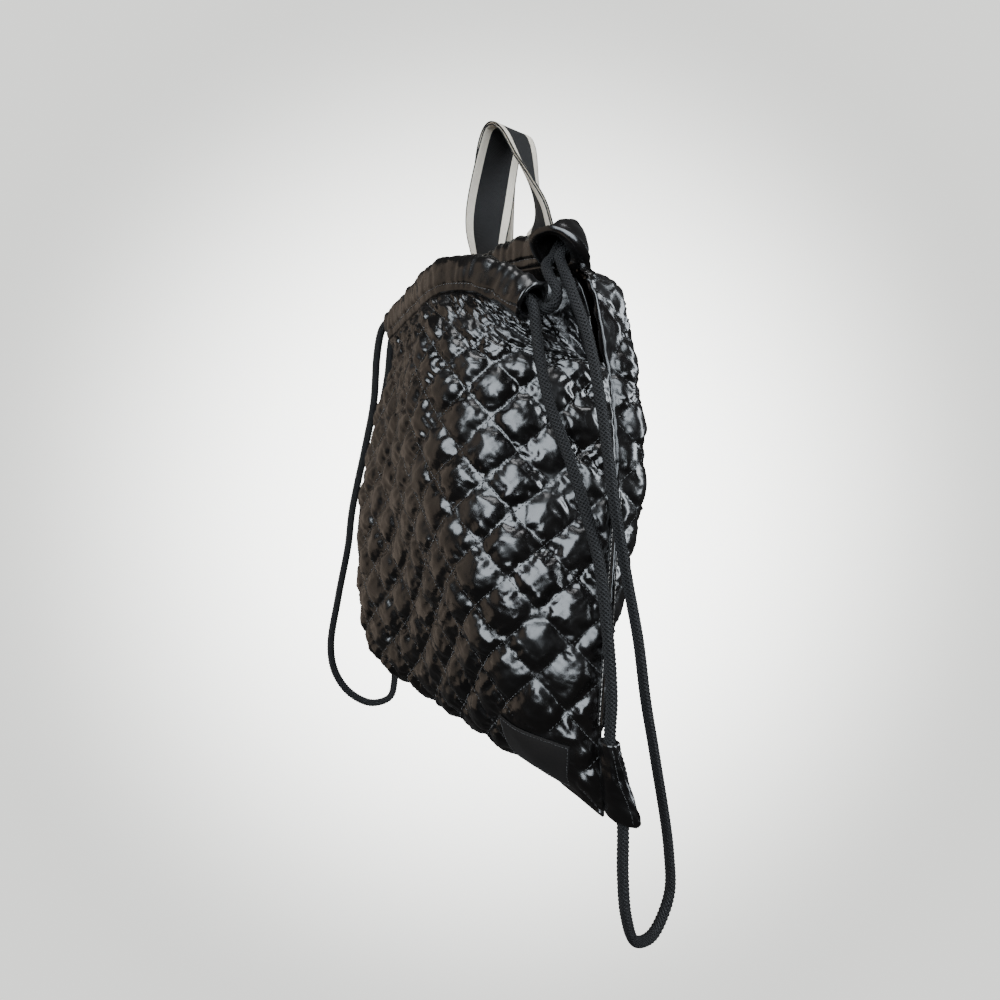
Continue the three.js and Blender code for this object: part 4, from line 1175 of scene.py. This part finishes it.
def webbing_piece(name, rows, layer, node):
    """A ply of the handle: flat webbing with rounded edges along its rows."""
    rows = finer_rows(rows, 150)
    start = HOOK - [0, 0, HANDLE_RISE]
    places = rows[:, :3] * HANDLE_RISE + start
    along = unit(np.gradient(places, axis=0))
    angle = np.radians(rows[:, 3])
    wide = np.stack([np.cos(angle), np.sin(angle), np.zeros(len(rows))], axis=1)
    wide = unit(wide - along * np.einsum("ij,ij->i", wide, along)[:, None])
    outward = np.cross(wide, along)
    middle = places + outward * layer * (WEBBING_THICKNESS + 1.5 * CLEARANCE)
    columns = 20
    share = np.linspace(0, 1, columns + 1)
    half = WEBBING_THICKNESS / 2 * (1 - np.maximum(0, np.abs(share - 0.5) * 2 - 0.93) * 8)
    width = (share - 0.5) * WEBBING_WIDTH
    top, bottom = np.stack([width, half], axis=1), np.stack([width, -half], axis=1)
    profile = np.concatenate([top, bottom[::-1]])
    rings = (middle[:, None] + wide[:, None] * profile[None, :, :1]
             + outward[:, None] * profile[None, :, 1:])
    points, faces, _ = tube_solid(rings)
    lengths = run_along(middle)
    uvs = []
    for face in faces:
        for corner in face:
            ring, k = divmod(int(corner), 2 * columns + 2)
            k = k if k <= columns else 2 * columns + 1 - k
            uvs.append((k / columns, lengths[ring] / 1000))
    make_piece(name, (points, faces, uvs), "striped_webbing", node)


class BACKPACK_OT_handle(bpy.types.Operator):
    """Adds the two plies of the webbing handle"""

    bl_idname = "backpack.handle"
    bl_label = "Handle"

    def execute(self, context):
        webbing_piece("handle_inner_ply", HANDLE_RIGHT + HANDLE_LEFT_INNER, 0, "handle_inner")
        webbing_piece("handle_outer_ply", HANDLE_RIGHT + HANDLE_LEFT_OUTER, 1, "handle_outer")
        return {"FINISHED"}


def tab_piece(name, top, bottom, outward, seed, node):
    """A corner tab, cloth folded round the cord, and the lines that sew its plies together."""
    count, sides = 40, 44
    down = np.linspace(0, 1, count + 1)
    row = read_table(TAB_COLUMNS, TAB_SECTIONS, down[:, None])
    angle = (np.arange(sides) + 0.5) / sides * 2 * np.pi
    cosine, sine = np.cos(angle)[None], np.sin(angle)[None]
    x = cosine * TAB_WIDTH * np.where(cosine > 0, row["reach_out"], row["reach_in"])
    flat = 1 - 0.42 * ease((x - 5) / 8)
    y = np.sign(sine) * np.abs(sine) ** 0.85 * TAB_THICKNESS * row["thick"] * flat
    wrinkle = (1.3 * noise_plane(angle[None] * 2.2 + 7, down[:, None] * 7, seed)
               - 1.1 * np.abs(noise_plane(angle[None] * 1.6, down[:, None] * 12, seed + 1)))
    groove = 0.9 * np.exp(-(sine / 0.12) ** 2) * (cosine > 0)
    grow = 0.94 + wrinkle / 14 - groove / 12
    x, y = x * grow, y * grow
    way = CORD_DIAMETER / 2 + 2 * CLEARANCE
    turn = math.radians(outward)
    ahead = np.array([math.cos(turn), math.sin(turn), 0])
    aside = np.array([-math.sin(turn), math.cos(turn), 0])
    middle = np.array(top) + (np.array(bottom) - np.array(top)) * down[:, None]
    outer = middle[:, None] + x[..., None] * ahead + y[..., None] * aside
    inner = (middle[:, None] + (cosine * way)[..., None] * ahead
             + (sine * way)[..., None] * aside) + np.zeros_like(outer)
    make_piece(name, sleeve_solid(outer, inner, 0.001, 0.06), "glossy_nylon",
               node)
    lines = []
    for face in (1, -1):
        pick = np.argmin(np.abs(cosine[0] - 0.72) + (np.sign(sine[0]) != face) * 5)
        lines.append((outer[2:-2, pick], np.tile(aside * face, (count - 3, 1))))
    return lines


def binding_piece(name, across, outward, start, end, node):
    """A folded strip over a side seam, and the lines that sew it on."""
    count = 90
    down = np.linspace(start, end, count + 1)
    edge, ahead, behind = (surface_grid(front_section, np.array([across]), down + step)[:, 0]
                           for step in (0, 0.01, -0.01))
    along = unit(ahead - behind)
    out = np.array(outward, float)
    out = unit(out - along * (along @ out)[:, None])
    thick = np.cross(along, out)
    edge = edge + out * 2 * CLEARANCE
    bend = np.linspace(-1, 1, 13)
    reach = BINDING_WIDTH * (1 - np.abs(bend) ** 2.5)
    depth = bend * BINDING_WIDTH / 2
    wave = 0.25 * noise_line(np.arange(count + 1) / 2.2, 31)[:, None]
    rings = (edge[:, None] + out[:, None] * (reach[None] * (1 + wave * 0.3))[..., None]
             + thick[:, None] * depth[None, :, None])
    make_piece(name, tube_solid(rings, 0.001, 0.02), "glossy_nylon", node)
    return [(rings[:, 10], unit(thick + 0.3 * out)), (rings[:, 2], unit(-thick + 0.3 * out))]


class BACKPACK_OT_trim(bpy.types.Operator):
    """Adds the corner tabs and the strips over the side seams"""

    bl_idname = "backpack.trim"
    bl_label = "Tabs and seams"

    def execute(self, context):
        right_tab = tab_piece("right_tab_cloth", (190, 1, 26), (196, 8, -30), 8, 21,
                              "right_corner_tab")
        left_tab = tab_piece("left_tab_cloth", (-188, 20, 22), (-188, 20, -28), 112, 22,
                             "left_corner_tab")
        right_seam = binding_piece("right_seam_cloth", 1.0, (0.8, -0.6, 0), 0.46, 0.85,
                                   "right_seam_binding")
        left_seam = binding_piece("left_seam_cloth", 0.0, (-0.9, -0.4, 0), 0.30, 0.88,
                                  "left_seam_binding")
        stitch_mesh("tab_sewing", right_tab + left_tab, SEWING_STITCH)
        stitch_mesh("seam_sewing", right_seam + left_seam, SEAM_STITCH, "pale_thread")
        return {"FINISHED"}


class BACKPACK_OT_label(bpy.types.Operator):
    """Adds the bare label patch with its sewn edge"""

    bl_idname = "backpack.label"
    bl_label = "Label"

    def execute(self, context):
        left, right, top, bottom = LABEL_PLACE
        rows, columns = 27, 41
        u, v = np.meshgrid(np.linspace(0, 1, columns), np.linspace(0, 1, rows))
        down = np.linspace(top - LABEL_SLANT, bottom, 60)
        grid = surface_grid(front_section, np.linspace(left, right, columns), down)
        wanted = top + (bottom - top) * v - LABEL_SLANT * (1 - u) * (1 - 0.6 * v)
        fine = np.stack([read_along(grid[:, i], down, wanted[:, i]) for i in range(columns)],
                        axis=1)
        normal = grid_normals(fine, 1)
        inset = np.minimum(np.minimum(u, 1 - u) * 60, np.minimum(v, 1 - v) * 40)
        ripple = 0.15 * noise_plane(u * 7, v * 5, 77)
        sewn = 0.35 * np.exp(-((inset - 1.8) / 0.8) ** 2)
        over = CLEARANCE * 2 + LABEL_THICKNESS * (0.55 + 0.45 * ease(inset / 1.2)) + ripple - sewn
        upper = fine + normal * over[..., None]
        lower = fine + normal * CLEARANCE * 2
        make_piece("label_cloth", sheet_solid(upper, lower, (0.0015, 0.0015)), "bare_label",
                   "label_patch")
        loop = edge_loop(rows, columns, 1)
        j, i = np.array(loop + loop[:1]).T
        stitch_mesh("label_sewing", [(upper[j, i], normal[j, i])], LABEL_STITCH,
                    pitch=LABEL_STITCH_PITCH)
        return {"FINISHED"}


class BACKPACK_OT_stage(bpy.types.Operator):
    """Adds the pale backdrop and the soft studio lights"""

    bl_idname = "backpack.stage"
    bl_label = "Stage and lights"

    def execute(self, context):
        scene = context.scene
        bpy.ops.mesh.primitive_uv_sphere_add(
            segments=48, ring_count=24, radius=DOME_RADIUS, location=DOME_CENTRE)
        dome = context.object
        dome.name = "backdrop"
        material = bpy.data.materials.new("pale_backdrop")
        material.use_nodes = True
        nodes, links = material.node_tree.nodes, material.node_tree.links
        nodes.clear()
        output, glow, where, away, ramp = (nodes.new("ShaderNode" + kind) for kind in (
            "OutputMaterial", "Emission", "TexCoord", "VectorMath", "MapRange"))
        away.operation = "DISTANCE"
        away.inputs[1].default_value = GLOW_PLACE
        ramp.interpolation_type = "SMOOTHSTEP"
        for key, value in GLOW_RANGE.items():
            ramp.inputs[key].default_value = value
        links.new(where.outputs["Object"], away.inputs[0])
        links.new(away.outputs["Value"], ramp.inputs["Value"])
        links.new(ramp.outputs["Result"], glow.inputs["Strength"])
        glow.inputs["Color"].default_value = GLOW_COLOUR
        links.new(glow.outputs["Emission"], output.inputs["Surface"])
        dome.data.materials.append(material)
        dome.visible_diffuse = dome.visible_glossy = dome.visible_shadow = False
        dome.visible_transmission = False
        world = bpy.data.worlds.new("studio")
        scene.world = world
        world.use_nodes = True
        background = world.node_tree.nodes["Background"]
        background.inputs["Color"].default_value = ROOM_COLOUR
        background.inputs["Strength"].default_value = ROOM_STRENGTH
        for name, (place, wide, high, share, colour) in LIGHTS.items():
            data = bpy.data.lights.new(name, "AREA")
            data.shape, data.size, data.size_y = "RECTANGLE", wide, high
            data.energy, data.color = settings().key_power * share, colour
            light = bpy.data.objects.new(name, data)
            scene.collection.objects.link(light)
            light.location = place
            aim = Vector((0, 0, -0.3)) - Vector(place)
            light.rotation_mode = "QUATERNION"
            light.rotation_quaternion = aim.to_track_quat("-Z", "Y")
        return {"FINISHED"}


class BACKPACK_PT_build(bpy.types.Panel):
    """The add-on's panel in the 3D view's sidebar"""

    bl_label = "Quilted Backpack"
    bl_idname = "BACKPACK_PT_build"
    bl_space_type = "VIEW_3D"
    bl_region_type = "UI"
    bl_category = "Backpack"

    def draw(self, context):
        values = context.scene.backpack
        for name in values.__annotations__:
            self.layout.prop(values, name)
        for operator in OPERATORS:
            self.layout.operator(operator.bl_idname)


OPERATORS = (
    BACKPACK_OT_camera, BACKPACK_OT_cords, BACKPACK_OT_panels, BACKPACK_OT_casings,
    BACKPACK_OT_handle, BACKPACK_OT_trim, BACKPACK_OT_label, BACKPACK_OT_stage,
)
CLASSES = (BackpackSettings, *OPERATORS, BACKPACK_PT_build)


def register():
    for cls in CLASSES:
        bpy.utils.register_class(cls)
    bpy.types.Scene.backpack = PointerProperty(type=BackpackSettings)


def unregister():
    del bpy.types.Scene.backpack
    for cls in reversed(CLASSES):
        bpy.utils.unregister_class(cls)


def main():
    register()
    for operator in OPERATORS:
        group, name = operator.bl_idname.split(".")
        getattr(getattr(bpy.ops, group), name)()


if __name__ == "__main__":
    main()
